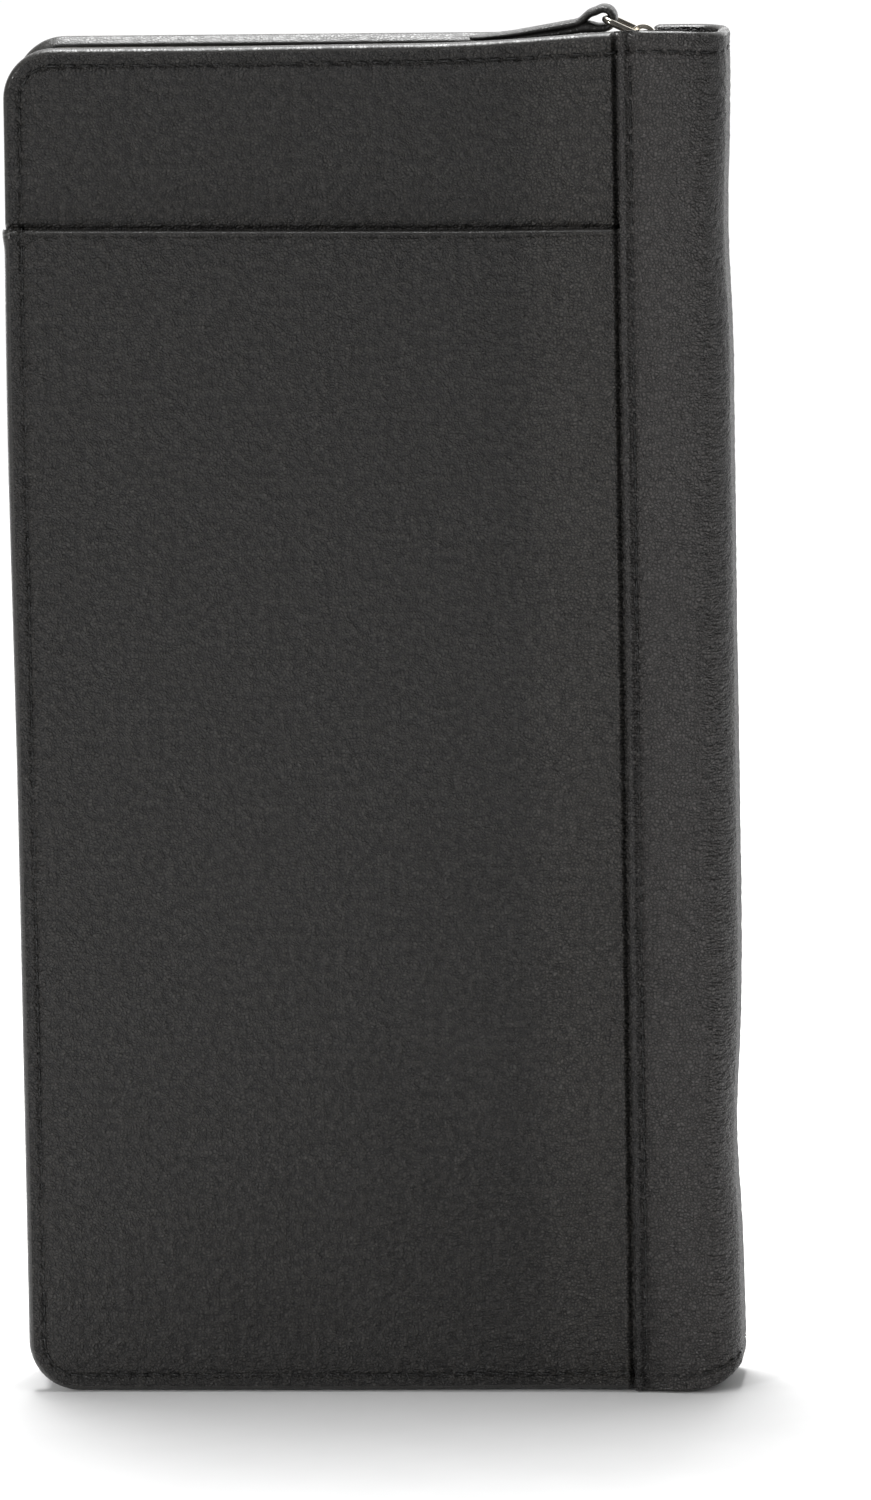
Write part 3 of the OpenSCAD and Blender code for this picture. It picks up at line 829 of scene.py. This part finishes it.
def spine_half(name, side):
    s_values = np.concatenate([np.linspace(0, 3.4, 21), np.linspace(3.9, HALF_LENGTH, 38)])
    v_values = spaced(0, 1, 0.0016, 0.0034, 0.02)
    s, v = np.meshgrid(s_values, v_values)
    foot, top = spine_ends(s, side)
    z = foot + v * (top - foot)
    point, normal = spine_section(s, side)
    free = np.minimum(np.minimum(z - foot, top - z), s)
    round_edge = rolled(free * 1.2, 0.45)
    outward = spine_height(s, z, side)
    from_end = np.minimum(z - foot, top - z)
    hem = 0.9 * (1 - smooth((from_end - 4) / 1.5)) * smooth((s - 2) / 4)
    inner_edge = rolled(np.minimum(from_end, s * 1.2), 0.45 + 0.65 * smooth((s - 2) / 4))
    offsets = (outward - round_edge, outward - SPINE_SKIN - hem + inner_edge)
    points = [np.concatenate([point + normal * o[..., None], z[..., None]], -1).reshape(-1, 3) for o in offsets]
    rows, columns = s.shape
    count = rows * columns
    index = np.arange(count).reshape(rows, columns)
    faces = grid_faces(rows, columns) + grid_faces(rows, columns, start=count)
    smooth_count = len(faces)
    for line in (index[0, :], index[-1, :], index[:, 0], index[:, -1]):
        faces += np.stack([line[:-1], line[1:], line[1:] + count, line[:-1] + count], -1).tolist()
    around = s if side == FRONT else 2 * HALF_LENGTH - s
    uv = np.stack([FLAP_X + around, z], -1).reshape(-1, 2)
    made = add_mesh(name, np.concatenate(points), faces, spine_cowhide, np.concatenate([uv, uv]))
    made.data.polygons.foreach_set("use_smooth", [i < smooth_count for i in range(len(faces))])
    made.data.materials.append(rim_leather)
    at_top = np.tile((top - z < 0.8).ravel(), 2)
    made.data.polygons.foreach_set("material_index", at_top[np.array(faces)].all(axis=1).astype(int))
    close_normals(made)
    bend_over_hinge(made)
    return made


def bend_over_hinge(piece):
    """Bakes a piece's transform into its mesh; the piece is not bent and stays as the closed case has it."""
    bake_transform(piece)


spine_front = spine_half("spine_leather_front", FRONT)
spine_back = spine_half("spine_leather_back", BACK)
belongs(spine_front, None, "black_leather", "spine_front_flap", "spine_leather")
belongs(spine_back, None, "black_leather", "spine_back_flap")
print("spine leather, half its width on the flat:", round(HALF_LENGTH, 1), "mm")

# %% [markdown]
# ## Stitches
# The seams are lockstitched with black thread, about eight stitches to the inch, so one every
# 3 mm. Each stitch is a short round thread that dives into the leather at both ends. All the
# stitches of a seam are one mesh.

# %% Stitch helpers
THREAD_D = 0.44


def along_path(path, pitch, start=0.0):
    """Points and directions every pitch millimetres along a path."""
    reach = reach_along(path)
    places = np.arange(start + pitch / 2, reach[-1] - pitch / 4, pitch)
    spots, ahead, behind = (points_at(places + shift, reach, path) for shift in (0, 0.2, -0.2))
    direction = ahead - behind
    return spots, direction / np.linalg.norm(direction, axis=1, keepdims=True), places


def tubes(centres, along, up, sections, sides):
    """Short tubes: sections are (place along, sink, radius) for each ring. Returns points, faces and UV."""
    across = np.cross(along, up)
    across /= np.linalg.norm(across, axis=1, keepdims=True)
    up = np.cross(across, along)
    turn = np.linspace(0, 2 * math.pi, sides, endpoint=False)
    rings = []
    for place, sink, radius in sections:
        ring = centres + along * place - up * sink
        round_it = across[:, None] * np.cos(turn)[:, None] + up[:, None] * np.sin(turn)[:, None]
        rings.append(ring[:, None] + radius * round_it)
    points = np.stack(rings, 1).reshape(-1, 3)
    size = len(sections) * sides
    one = grid_faces(len(sections), sides, wrap=True)
    caps = [list(range(sides))[::-1], list(range(size - sides, size))]
    faces = [[i + k * size for i in face] for k in range(len(centres)) for face in one + caps]
    places = np.array([section[0] for section in sections])
    uv = np.stack(np.broadcast_arrays(places[:, None], turn[None, :] * 0.25), -1).reshape(-1, 2)
    return points, faces, np.tile(uv, (len(centres), 1))


def stitch_row(path, up, pitch=STITCH_PITCH, thread_d=THREAD_D, start=0.0):
    """One row of stitches along a path of points; up is the leather's outward normal there."""
    path = np.asarray(path, float)
    spots, direction, places = along_path(path, pitch, start)
    normals = np.broadcast_to(np.asarray(up, float), path.shape)
    normals = points_at(places, reach_along(path), normals)
    half, r = pitch * 0.39, thread_d / 2
    sections = [(-half, r * 1.5, r * 0.4), (-half * 0.86, r * 0.9, r * 0.85), (-half * 0.45, r * 0.1, r),
                (half * 0.45, r * 0.1, r), (half * 0.86, r * 0.9, r * 0.85), (half, r * 1.5, r * 0.4)]
    return tubes(spots, direction, normals, sections, 6)


def sew(name, rows, body=None):
    """One mesh of thread from rows of stitches."""
    points, faces, uv, count = [], [], [], 0
    for row_points, row_faces, row_uv in rows:
        points.append(row_points)
        uv.append(row_uv)
        faces += [[i + count for i in face] for face in row_faces]
        count += len(row_points)
    made = add_mesh(name, np.concatenate(points), faces, thread, np.concatenate(uv))
    close_normals(made)
    if body:
        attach(made, body)
    return made


def seam_path(inset, end_x, top=COVER_H, step=0.5):
    """x and z along the sewn edge at an inset: foot, open side, top."""
    radius = CORNER_R - inset
    turn = np.linspace(0, math.pi / 2, 24)
    foot_x = np.arange(end_x, OPEN_X + CORNER_R, -step)
    side_z = np.arange(CORNER_R, top - CORNER_R, step)
    foot = np.stack([foot_x, np.full_like(foot_x, inset)], -1)
    first = np.stack([OPEN_X + CORNER_R - radius * np.sin(turn), CORNER_R - radius * np.cos(turn)], -1)
    side = np.stack([np.full_like(side_z, OPEN_X + inset), side_z], -1)
    second = np.stack([OPEN_X + CORNER_R - radius * np.cos(turn), top - CORNER_R + radius * np.sin(turn)], -1)
    head = np.stack([foot_x[::-1], np.full_like(foot_x, top - inset)], -1)
    return np.concatenate([foot, first[:-1], side, second[:-1], head])


def cover_seam(side):
    line = seam_path(SEAM, FLAP_X - SEAM_GAP)
    x, z = line[:, 0], line[:, 1]
    y = cover_y(x, z, side)
    if side == FRONT:
        y = np.where(z < lip_z(x) - 0.3, pocket_y(x, z), y)
    points = np.stack([x, side * (y + 0.04), z + end_lift(x, z, side)], -1)
    return stitch_row(points, (0, side, 0))


sew("front_edge_stitches", [cover_seam(FRONT)], "front_cover")
sew("back_edge_stitches", [cover_seam(BACK)], "back_cover")


def spine_seams(side):
    """The seam beside the bead and the rows across the top and the foot of the spine strip."""
    rows = []
    z = np.arange(SPINE_FOOT_SEAM + 0.6, SPINE_H - SPINE_TOP_SEAM - 1.2, 0.5)
    s = np.full_like(z, FLAP_SEAM)
    lines = [(s, z)]
    s = np.arange(0.4, HALF_LENGTH, 0.3)
    foot, top = spine_ends(s, side)
    lines += [(s, foot + SPINE_FOOT_SEAM), (s, top - SPINE_TOP_SEAM)]
    for s, z in lines:
        point, normal = spine_section(s, side)
        point = point + normal * (spine_height(s, z, side) + 0.05)[:, None]
        up = np.concatenate([normal, np.zeros((len(s), 1))], -1)
        rows.append(stitch_row(np.concatenate([point, z[:, None]], -1), up))
    return rows


for side, cover in ((FRONT, "front_cover"), (BACK, "back_cover")):
    seams = sew("spine_stitches_" + ("front" if side == FRONT else "back"), spine_seams(side))
    bend_over_hinge(seams)

# %% [markdown]
# ## The zipper
# A coil zipper runs round three sides between the covers. Each cover has its own woven tape,
# which lies sewn under the lining and then turns towards the other cover. The coil on the
# tape's edge is a nylon thread wound into loops, and the loops of one side lock between those
# of the other. Each tape is a strip swept round the case with a little thickness, and each loop
# of the coil is a small bent ring.

# %% Zipper tapes
COIL_DEPTH = 2.0
COIL_Z = 237.4
COIL_PITCH = 1.25
WIRE_D = 0.56


def zipper_tape(side):
    line = seam_path(0.0, tape_high[0])
    _, inward = path_frame(line)
    profile = np.array([(7.7, 8.85), (5.0, 8.85), (3.4, 8.8), (2.5, 8.6), (2.05, 8.1), (1.95, 7.2),
                        (2.0, 6.0), (2.06, 4.6), (2.08, 3.4), (2.02, 2.7)])
    reach, across = reach_along(line), reach_along(profile)
    points = np.stack([
        line[None, :, 0] + profile[:, 0:1] * inward[None, :, 0],
        np.broadcast_to(side * profile[:, 1:2], (len(profile), len(line))),
        line[None, :, 1] + profile[:, 0:1] * inward[None, :, 1],
    ], -1)
    uv = np.stack(np.broadcast_arrays(reach[None, :], across[:, None]), -1).reshape(-1, 2)
    name = "front_tape_cloth" if side == FRONT else "back_tape_cloth"
    made = add_mesh(name, points.reshape(-1, 3), grid_faces(*points.shape[:2]), tape_cloth, uv)
    thicken(made, 0.5)
    if made.data.polygons[0].normal.y * side < 0:
        made.data.flip_normals()
    return made


for side, cover in ((FRONT, "front_cover"), (BACK, "back_cover")):
    tape = zipper_tape(side)
    belongs(tape, cover, "zipper_tape", cover.replace("cover", "zipper_tape"))

# %% Zipper coils


def loops(centres, along, across, deep, reach, overlap, depth, wire_d):
    """One bent ring of wire for each centre; it lies across the zipper and reaches over the middle."""
    turn = np.linspace(0, 2 * math.pi, 12, endpoint=False)
    middle, half = (reach - overlap) / 2, (reach + overlap) / 2
    u = middle + half * squarish(np.cos(turn), 0.6)
    w = depth / 2 * squarish(np.sin(turn), 0.75)
    outward_u, outward_w = np.cos(turn), np.sin(turn)
    section = np.linspace(0, 2 * math.pi, 5, endpoint=False)
    points = np.zeros((len(centres), 12, 5, 3))
    for j, angle in enumerate(section):
        r = wire_d / 2
        a, b = r * math.cos(angle), r * math.sin(angle)
        points[:, :, j] = (centres[:, None] + across[:, None] * (u + a * outward_u)[None, :, None]
                           + deep[:, None] * (w + a * outward_w)[None, :, None] + along[:, None] * b)
    ring = np.arange(60).reshape(12, 5)
    ahead = np.roll(ring, -1, axis=0)
    one = np.stack([ring, np.roll(ring, -1, axis=1), np.roll(ahead, -1, axis=1), ahead], -1).reshape(-1, 4)
    faces = (one[None] + np.arange(len(centres))[:, None, None] * ring.size).reshape(-1, 4).tolist()
    return points.reshape(-1, 3), faces


def zipper_coil(side):
    line = seam_path(0.0, coil_high[0] - 0.6)
    start = COIL_PITCH / 2 if side == BACK else 0.0
    spots, along, places = along_path(line, COIL_PITCH, start)
    inward = np.stack([along[:, 1], -along[:, 0]], -1)
    zeros = np.zeros(len(spots))
    # Inside the slider, the two coils part round its post
    on_top = spots[:, 1] > COVER_H / 2
    parted = np.where(on_top, 1.5 * smooth((spots[:, 0] - 42.5) / 3.5), 0)
    depth = COVER_H - COIL_Z
    centres = np.stack([spots[:, 0] + depth * inward[:, 0], side * parted, spots[:, 1] + depth * inward[:, 1]], -1)
    along3 = np.stack([along[:, 0], zeros, along[:, 1]], -1)
    deep3 = np.stack([inward[:, 0], zeros, inward[:, 1]], -1)
    across3 = np.tile(np.array([0.0, side, 0.0]), (len(spots), 1))
    points, faces = loops(centres, along3, across3, deep3, 2.5, 0.3, COIL_DEPTH - WIRE_D, WIRE_D)
    made = add_mesh("front_coil_loops" if side == FRONT else "back_coil_loops", points, faces, coil_nylon)
    close_normals(made)
    return made


for side, cover in ((FRONT, "front_cover"), (BACK, "back_cover")):
    coil = zipper_coil(side)
    belongs(coil, cover, "zipper_coil", cover.replace("cover", "zipper_coil"))
print("zipper loops each side:", len(coil.data.vertices) // 60)

# %% [markdown]
# ## Slider, ring and pull
# The slider, the ring and the end stops keep their CAD shapes, which are right; a real die
# casting has no sharp edges, so those of the slider and the stops are broken, the ring is shaded smooth, and the
# nickel is added.
#
# The pull is one strip of leather, folded round the ring and stuck to itself. It is made as a
# ribbon that is swept along its own fold, thinner at the tip, where leather is pared before it is
# joined.

# %% Metal pieces
METAL_PIECES = {
    "slider": 0.25, "front_end_stops": 0.2, "back_end_stops": 0.2, "inner_zip_slider": 0.15,
    "inner_zip_puller": 0.15, "inner_zip_stops": 0.15,
}
for node, edge in METAL_PIECES.items():
    dress(node, nickel, edge)
ring = dress("pull_ring", nickel)
ring.data.polygons.foreach_set("use_smooth", [True] * len(ring.data.polygons))
print("metal pieces:", len(METAL_PIECES) + 1)

# %% Leather pull
strap_low, strap_high = box_mm("pull_strap")
STRAP_W = strap_high[1] - strap_low[1]
LOOP_R = 2.4
LOOP_X = strap_high[0] - LOOP_R
LOOP_Z = strap_high[2] - LOOP_R
STRAP_T = 1.32
TIP_T = 0.52


def strap_fold():
    """The middle line of the folded strip, in x and z, with its thickness."""
    # Places are given from the middle of the loop; the two layers lie together up to the ring
    lower = [(-23.7, -3.85, TIP_T), (-16.0, -3.4, 0.85), (-12.8, -3.0, 0.95), (-7.7, -2.4, 1.1),
             (-4.4, -1.85, 1.35), (-3.3, -1.5, 1.95), (-2.6, -1.5, 1.8), (-1.2, -1.75, 1.35)]
    turn = np.radians(np.linspace(-72, 138, 24))
    r = LOOP_R - STRAP_T / 2
    around = [(r * math.cos(a), r * math.sin(a), STRAP_T) for a in turn]
    upper = [(-2.35, 1.0, 1.3), (-3.3, 0.1, 1.3), (-4.4, -0.75, 1.15), (-7.7, -1.3, 1.1),
             (-12.8, -2.1, 0.95), (-16.0, -2.6, 0.85), (-23.7, -3.3, TIP_T)]
    lower, around, upper = ([(LOOP_X + x, LOOP_Z + z, t) for x, z, t in part] for part in (lower, around, upper))
    rough = np.array(lower + around + upper)
    reach = reach_along(rough[:, :2])
    fine = np.linspace(0, reach[-1], 150)
    line = points_at(fine, reach, rough)
    for _ in range(3):
        line[1:-1] = (line[:-2] + 2 * line[1:-1] + line[2:]) / 4
    return line, fine


def pull_strap():
    line, reach = strap_fold()
    normal = -path_frame(line[:, :2])[1]
    from_tip = np.minimum(reach, reach[-1] - reach)
    round_tip = np.sqrt(np.clip(1 - (1 - np.clip(from_tip / 3.0, 0.02, 1)) ** 2, 0, 1))
    half = STRAP_W / 2 * round_tip
    corner = np.linspace(0, 2 * math.pi, 20, endpoint=False)
    side, up = squarish(np.cos(corner), 0.35), squarish(np.sin(corner), 0.8)
    crown = 1 + 0.12 * (1 - side ** 2)
    x = line[:, None, 0] + normal[:, None, 0] * (up * crown)[None] * line[:, None, 2] / 2
    z = line[:, None, 1] + normal[:, None, 1] * (up * crown)[None] * line[:, None, 2] / 2
    y = half[:, None] * side[None]
    faces = grid_faces(len(line), 20, wrap=True)
    faces += [list(range(20)), list(range(len(line) * 20 - 20, len(line) * 20))]
    uv = np.stack(np.broadcast_arrays(reach[:, None], y), -1).reshape(-1, 2)
    made = add_mesh("pull_strap_leather", np.stack([x, y, z], -1).reshape(-1, 3), faces, pocket_leather, uv)
    close_normals(made)
    return made


strap = pull_strap()
belongs(strap, "zip_strap", "black_leather", "pull_strap")
print("pull is", round(float(strap_high[0] - strap_low[0]), 1), "mm long")

# %% [markdown]
# ## Inside the covers
# Both covers are lined with black twill. The front one has a zipped pocket and two open
# pockets, and the back one a document pocket, three card pockets and an identity window. Each
# pocket is a pared piece of smooth calf with its edges turned, sewn down on three sides.
# A flat piece with turned edges is a thin grid with a crease pressed along its open edge, given
# its thickness by a modifier and its softness by a bevel.

# %% Flat pieces
inside_rows = {FRONT: [], BACK: []}


def flat_piece(name, node, material, slot, side, crease=0.0, hole=None, seed=1.0, wave=0.06):
    """A thin flat piece in the place of a CAD node, its good face towards the middle of the case."""
    low, high = box_mm(node)
    good_y = high[1] if side == FRONT else low[1]
    thickness = high[1] - low[1]
    xs = np.unique(np.round(np.concatenate([spaced(low[0], high[0], 0.5, 2.0, 2), hole[:2] if hole else []]), 4))
    zs = np.unique(np.round(np.concatenate([spaced(low[2], high[2], 0.35, 2.0, 3), hole[2:] if hole else []]), 4))
    x, z = np.meshgrid(xs, zs)
    edge = np.minimum(np.minimum(x - low[0], high[0] - x), z - low[2])
    below = high[2] - z
    sink = wave * (0.5 - 0.5 * waves(x, z, 24, seed)) * smooth(np.minimum(edge, below) / 4)
    if crease:
        sink = sink + 0.14 * ridge(below - crease, 0.28) + 0.12 * ridge(edge - 1.6, 0.4)
    y = good_y + side * sink
    faces = grid_faces(*x.shape)
    if hole:
        cx, cz = (np.stack([x, z]).reshape(2, -1)[:, np.array(faces)]).mean(-1)
        in_hole = (hole[0] < cx) & (cx < hole[1]) & (hole[2] < cz) & (cz < hole[3])
        faces = [face for face, gone in zip(faces, in_hole) if not gone]
    points = np.stack([x, y, z], -1).reshape(-1, 3)
    made = add_mesh(name, points, faces, material, points[:, [0, 2]], outward=(0, -side, 0))
    if hole:
        work = bmesh.new()
        work.from_mesh(made.data)
        bmesh.ops.delete(work, geom=[v for v in work.verts if not v.link_faces], context="VERTS")
        work.to_mesh(made.data)
        work.free()
    thicken(made, thickness - wave)
    bevel = made.modifiers.new("turned_edge", "BEVEL")
    bevel.width = min(0.25, thickness * 0.35) * 0.001
    bevel.segments = 2
    bevel.limit_method = "ANGLE"
    bevel.angle_limit = math.radians(50)
    belongs(made, "front_cover" if side == FRONT else "back_cover", slot, node)
    return made, low, high


def sewn_pocket(name, node, side, seed):
    """A calf pocket, sewn down the sides and along its foot."""
    inset = 1.6
    made, low, high = flat_piece(name, node, pocket_leather, "pocket_leather", side, inset, seed=seed)
    good_y = high[1] if side == FRONT else low[1]
    corners = [(low[0] + inset, high[2] - 1.0), (low[0] + inset, low[2] + inset),
               (high[0] - inset, low[2] + inset), (high[0] - inset, high[2] - 1.0)]
    for (x0, z0), (x1, z1) in zip(corners[:-1], corners[1:]):
        steps = np.linspace(0, 1, 60)[:, None]
        path = np.array([x0, good_y, z0]) * (1 - steps) + np.array([x1, good_y, z1]) * steps
        path[:, 1] += side * 0.05
        inside_rows[side].append(stitch_row(path, (0, -side, 0)))
    return made


for node, side, seed in (
    ("boarding_pass_pocket", FRONT, 2.1), ("passport_pocket", FRONT, 3.4), ("document_pocket", BACK, 4.2),
    ("card_pocket_upper", BACK, 5.5), ("card_pocket_middle", BACK, 6.1), ("card_pocket_lower", BACK, 7.3),
):
    sewn_pocket(node + "_leather", node, side, seed=seed)

slot_low, slot_high = box_mm("inner_zip_coils")
zip_slot = (slot_low[0] - 2.6, slot_high[0] + 2.6, slot_low[2] - 2, slot_high[2] + 2)
_, _, panel_high = flat_piece("zip_pocket_panel", "inner_zip_panel", pocket_leather, "pocket_leather",
                              FRONT, 0.0, zip_slot, 8.2)
for x in (zip_slot[0] - 1.2, zip_slot[1] + 1.2):
    steps = np.arange(zip_slot[2] - 1, zip_slot[3] + 1, 0.5)
    path = np.stack([np.full_like(steps, x), np.full_like(steps, panel_high[1] - 0.02), steps], -1)
    inside_rows[FRONT].append(stitch_row(path, (0, 1, 0), pitch=2.6))

window_low, window_high = box_mm("id_window")
opening = (window_low[0] + 4, window_high[0] - 4, window_low[2] + 4, window_high[2] - 5)
flat_piece("id_window_frame_leather", "id_window_frame", pocket_leather, "pocket_leather", BACK, 1.6, opening, 9.7)
dress("id_window", film)

for side, cover, name in ((FRONT, "front", "front_lining_cloth"), (BACK, "back", "back_lining_cloth")):
    lining, low, high = flat_piece(name, cover + "_lining", lining_cloth, "lining_cloth", side, seed=1.7 * side)
print("flat pieces made")

# %% Inner zipper
tapes_low, tapes_high = box_mm("inner_zip_tapes")


def inner_zip():
    middle = (slot_low[0] + slot_high[0]) / 2
    slit = (middle - 0.4, middle + 0.4, tapes_low[2] + 1.5, tapes_high[2] - 1.5)
    tape, low, high = flat_piece("inner_tape_cloth", "inner_zip_tapes", tape_cloth, "zipper_tape", FRONT,
                                 hole=slit, wave=0.03)
    points, faces, count = [], [], 0
    for sign, start in ((-1, 0.0), (1, 0.5)):
        z = np.arange(slot_low[2] + start, slot_high[2], 1.0)
        centres = np.stack([np.full_like(z, middle), np.full_like(z, slot_low[1] + 0.5), z], -1)
        ones = np.ones((len(z), 1))
        made_points, made_faces = loops(centres, ones * (0, 0, 1.0), ones * (sign, 0, 0.0), ones * (0, 1.0, 0),
                                        1.35, 0.2, 0.55, 0.42)
        points.append(made_points)
        faces += [[i + count for i in face] for face in made_faces]
        count += len(made_points)
    coil = add_mesh("inner_coil_loops", np.concatenate(points), faces, coil_nylon)
    close_normals(coil)
    belongs(coil, "front_cover", "zipper_coil", "inner_zip_coils")


inner_zip()
sew("front_pocket_stitches", inside_rows[FRONT], "front_cover")
sew("back_pocket_stitches", inside_rows[BACK], "back_cover")
print("inner zipper made")

# %% [markdown]
# ## Inside of the spine
# A strip of the lining cloth goes from each cover into the spine. It has a little slack while
# the case is closed, because the way round the inside gets longer when the case opens. Like the
# spine leather, it is made in two halves. The pen loop is a band of covered elastic.

# %% Hinge linings and pen loop
spine_lining_low, spine_lining_high = box_mm("spine_lining")
loop_low, loop_high = box_mm("pen_loop")


def hinge_lining(side, cover):
    start = np.array([lining_high[0] - 0.4, side * 8.1])
    middle = np.array([spine_lining_low[0] - 2.6, side * 6.3])
    end = np.array([spine_lining_low[0] - 0.05, side * 5.2])
    t = np.linspace(0, 1, 20)[:, None]
    bend = (1 - t) ** 2 * start + 2 * t * (1 - t) * middle + t ** 2 * end
    flat_part = np.stack([np.full(8, end[0]), np.linspace(end[1], 0, 9)[1:]], -1)
    line = np.concatenate([bend, flat_part])
    z = np.linspace(spine_lining_low[2] + 0.3, spine_lining_high[2] - 0.3, 150)
    ripples = 0.12 * waves(*np.meshgrid(np.arange(len(line)) / 3.0, z / 9.0), 1.0, 3.0 * side)
    across = np.clip(np.linspace(0, 1.35, len(line)), 0, 1)
    slack = 0.25 * (1 + ripples) * np.sin(math.pi * across)
    # The stiffener's hollows press the lining in on the flat of the spine
    x = line[None, :, 0] - slack - np.maximum(hollow(z) - 0.45, 0)[:, None] * smooth(across)
    points = np.stack(np.broadcast_arrays(x, line[None, :, 1], z[:, None]), -1).reshape(-1, 3)
    reach = reach_along(line)
    uv = np.stack(np.broadcast_arrays(side * reach[None, :], z[:, None]), -1).reshape(-1, 2)
    made = add_mesh("hinge_lining_" + cover.split("_")[0], points, grid_faces(len(z), len(line)), lining_cloth, uv)
    if made.data.polygons[0].normal.y * side > 0:
        made.data.flip_normals()
    thicken(made, 0.35)
    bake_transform(made)
    return made


front_hinge_lining = hinge_lining(FRONT, "front_cover")
back_hinge_lining = hinge_lining(BACK, "back_cover")
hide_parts("spine_lining")


def pen_loop():
    """A flattened loop of elastic, standing on the spine's lining."""
    depth, half = loop_high[0] - loop_low[0], (loop_high[1] - loop_low[1]) / 2
    turn = np.linspace(0, 2 * math.pi, 48, endpoint=False)
    centre = np.array([loop_high[0] - depth / 2, 0.0])
    bend_x = squarish(np.cos(turn), 0.8) * (depth / 2 - 0.35)
    bend_y = squarish(np.sin(turn), 0.55) * (half - 0.35)
    z = np.linspace(loop_low[2], loop_high[2], 71)
    ribs = 0.07 * np.cos(2 * math.pi * (z - z[0]) / 2.5)
    points = np.stack(np.broadcast_arrays(
        centre[0] + bend_x[None, :] * (1 + ribs[:, None] / 1.7), bend_y[None, :], z[:, None]), -1)
    reach = reach_along(np.stack([bend_x, bend_y], -1))
    uv = np.stack(np.broadcast_arrays(reach[None, :], z[:, None]), -1).reshape(-1, 2)
    made = add_mesh("pen_loop_elastic", points.reshape(-1, 3), grid_faces(len(z), 48, wrap=True), elastic_band, uv)
    close_normals(made)
    thicken(made, 0.55)
    belongs(made, "spine", "elastic", "pen_loop")


pen_loop()


def spine_board():
    """The spine's stiffener, a strip of board that has taken the spine's hollows."""
    low, high = box_mm("spine_board")
    z = spaced(low[2] + 4.5, high[2], 0.8, 2.0, 2)
    y = spaced(low[1], high[1], 0.5, 2.0, 1)
    flat_y, flat_z = np.meshgrid(y, z)
    x = SPINE_X - SPINE_SKIN - 0.12 - hollow(flat_z)
    points = np.stack([x, flat_y, flat_z], -1).reshape(-1, 3)
    made = add_mesh("spine_stiffener", points, grid_faces(len(z), len(y)), greyboard, outward=(1, 0, 0))
    thicken(made, 0.55)
    belongs(made, "spine", "board", "spine_board")


spine_board()
dress("front_board", greyboard)
dress("back_board", greyboard)
dress("spine_end_tabs", cad_leather, 0.3)
print("inside of the spine made")

# %% [markdown]
# ## Studio
# The case stands on white paper in a white room. A large softbox hangs above and a little behind
# it, so the tops of the covers shine and a soft shadow falls to the front. A tall narrow one
# stands at the front left and brings out the leather's grain, and a weak one at the right keeps
# the spine's side from going black. A glowing wall behind lights the edges. The wall itself
# isn't seen, so the case can be looked at from behind too, and the room looks white.

# %% Floor, room and softboxes
ROOM_WHITE = 0.1
BACKDROP_GLOW = 1.15


def softbox(name, place, target, width, height, watts):
    light = bpy.data.lights.new(name, "AREA")
    light.shape, light.size, light.size_y, light.energy = "RECTANGLE", width, height, watts
    lamp = bpy.data.objects.new(name, light)
    lamp.location = place
    lamp.rotation_euler = (Vector(target) - Vector(place)).to_track_quat("-Z", "Y").to_euler()
    bpy.context.scene.collection.objects.link(lamp)
    return lamp


paper, paper_tree, paper_shader = new_material("white_paper_sweep", Roughness=0.9)
paper_shader.inputs["Specular IOR Level"].default_value = 0.2
paper_fibres = add_node(paper_tree, "ShaderNodeTexNoise", {"Scale": 60.0, "Detail": 2.0},
                        {"Vector": add_node(paper_tree, "ShaderNodeTexCoord").outputs["Object"]})
paper_tree.links.new(mix_colours(paper_tree, paper_fibres.outputs[0], "#f1f1f1", "#f6f6f6"),
                     paper_shader.inputs["Base Color"])
TABLE = [(-1300, -420, -0.05), (1300, -420, -0.05), (1300, 1300, -0.05), (-1300, 1300, -0.05)]
floor = add_mesh("floor", TABLE, [[0, 1, 2, 3]], paper)

world = bpy.data.worlds.new("white_room")
bpy.context.scene.world = world
world.use_nodes = True
world.node_tree.nodes["Background"].inputs["Color"].default_value = (1.0, 1.0, 1.0, 1.0)
rays = add_node(world.node_tree, "ShaderNodeLightPath")
seen = remap(world.node_tree, rays.outputs["Is Camera Ray"], 0.0, 1.0, ROOM_WHITE, 1.05)
world.node_tree.links.new(seen, world.node_tree.nodes["Background"].inputs["Strength"])
backdrop_paper, _, backdrop_shader = new_material("lit_white_backdrop", Roughness=0.9,
                                                  Emission_Strength=BACKDROP_GLOW)
backdrop_shader.inputs["Base Color"].default_value = linear("#f4f4f4")
backdrop_shader.inputs["Emission Color"].default_value = (1.0, 1.0, 1.0, 1.0)
backdrop = add_mesh("backdrop", [(-2600, 1300, -0.1), (2600, 1300, -0.1), (2600, 1300, 2200), (-2600, 1300, 2200)],
                    [[0, 1, 2, 3]], backdrop_paper, outward=(0, -1, 0))
backdrop.visible_camera = False
softbox("top_softbox", (-0.06, 0.2, 1.1), (-0.06, 0.2, 0.0), 0.4, 0.6, 15.0)
softbox("left_softbox", (-0.66, -0.95, 0.32), (0.0, 0.0, 0.12), 0.16, 0.5, 7.0)
softbox("right_softbox", (0.9, -0.5, 0.5), (0.0, 0.0, 0.12), 0.3, 0.6, 1.0)
bpy.context.scene.view_settings.view_transform = "Standard"
bpy.context.scene.view_settings.look = "None"
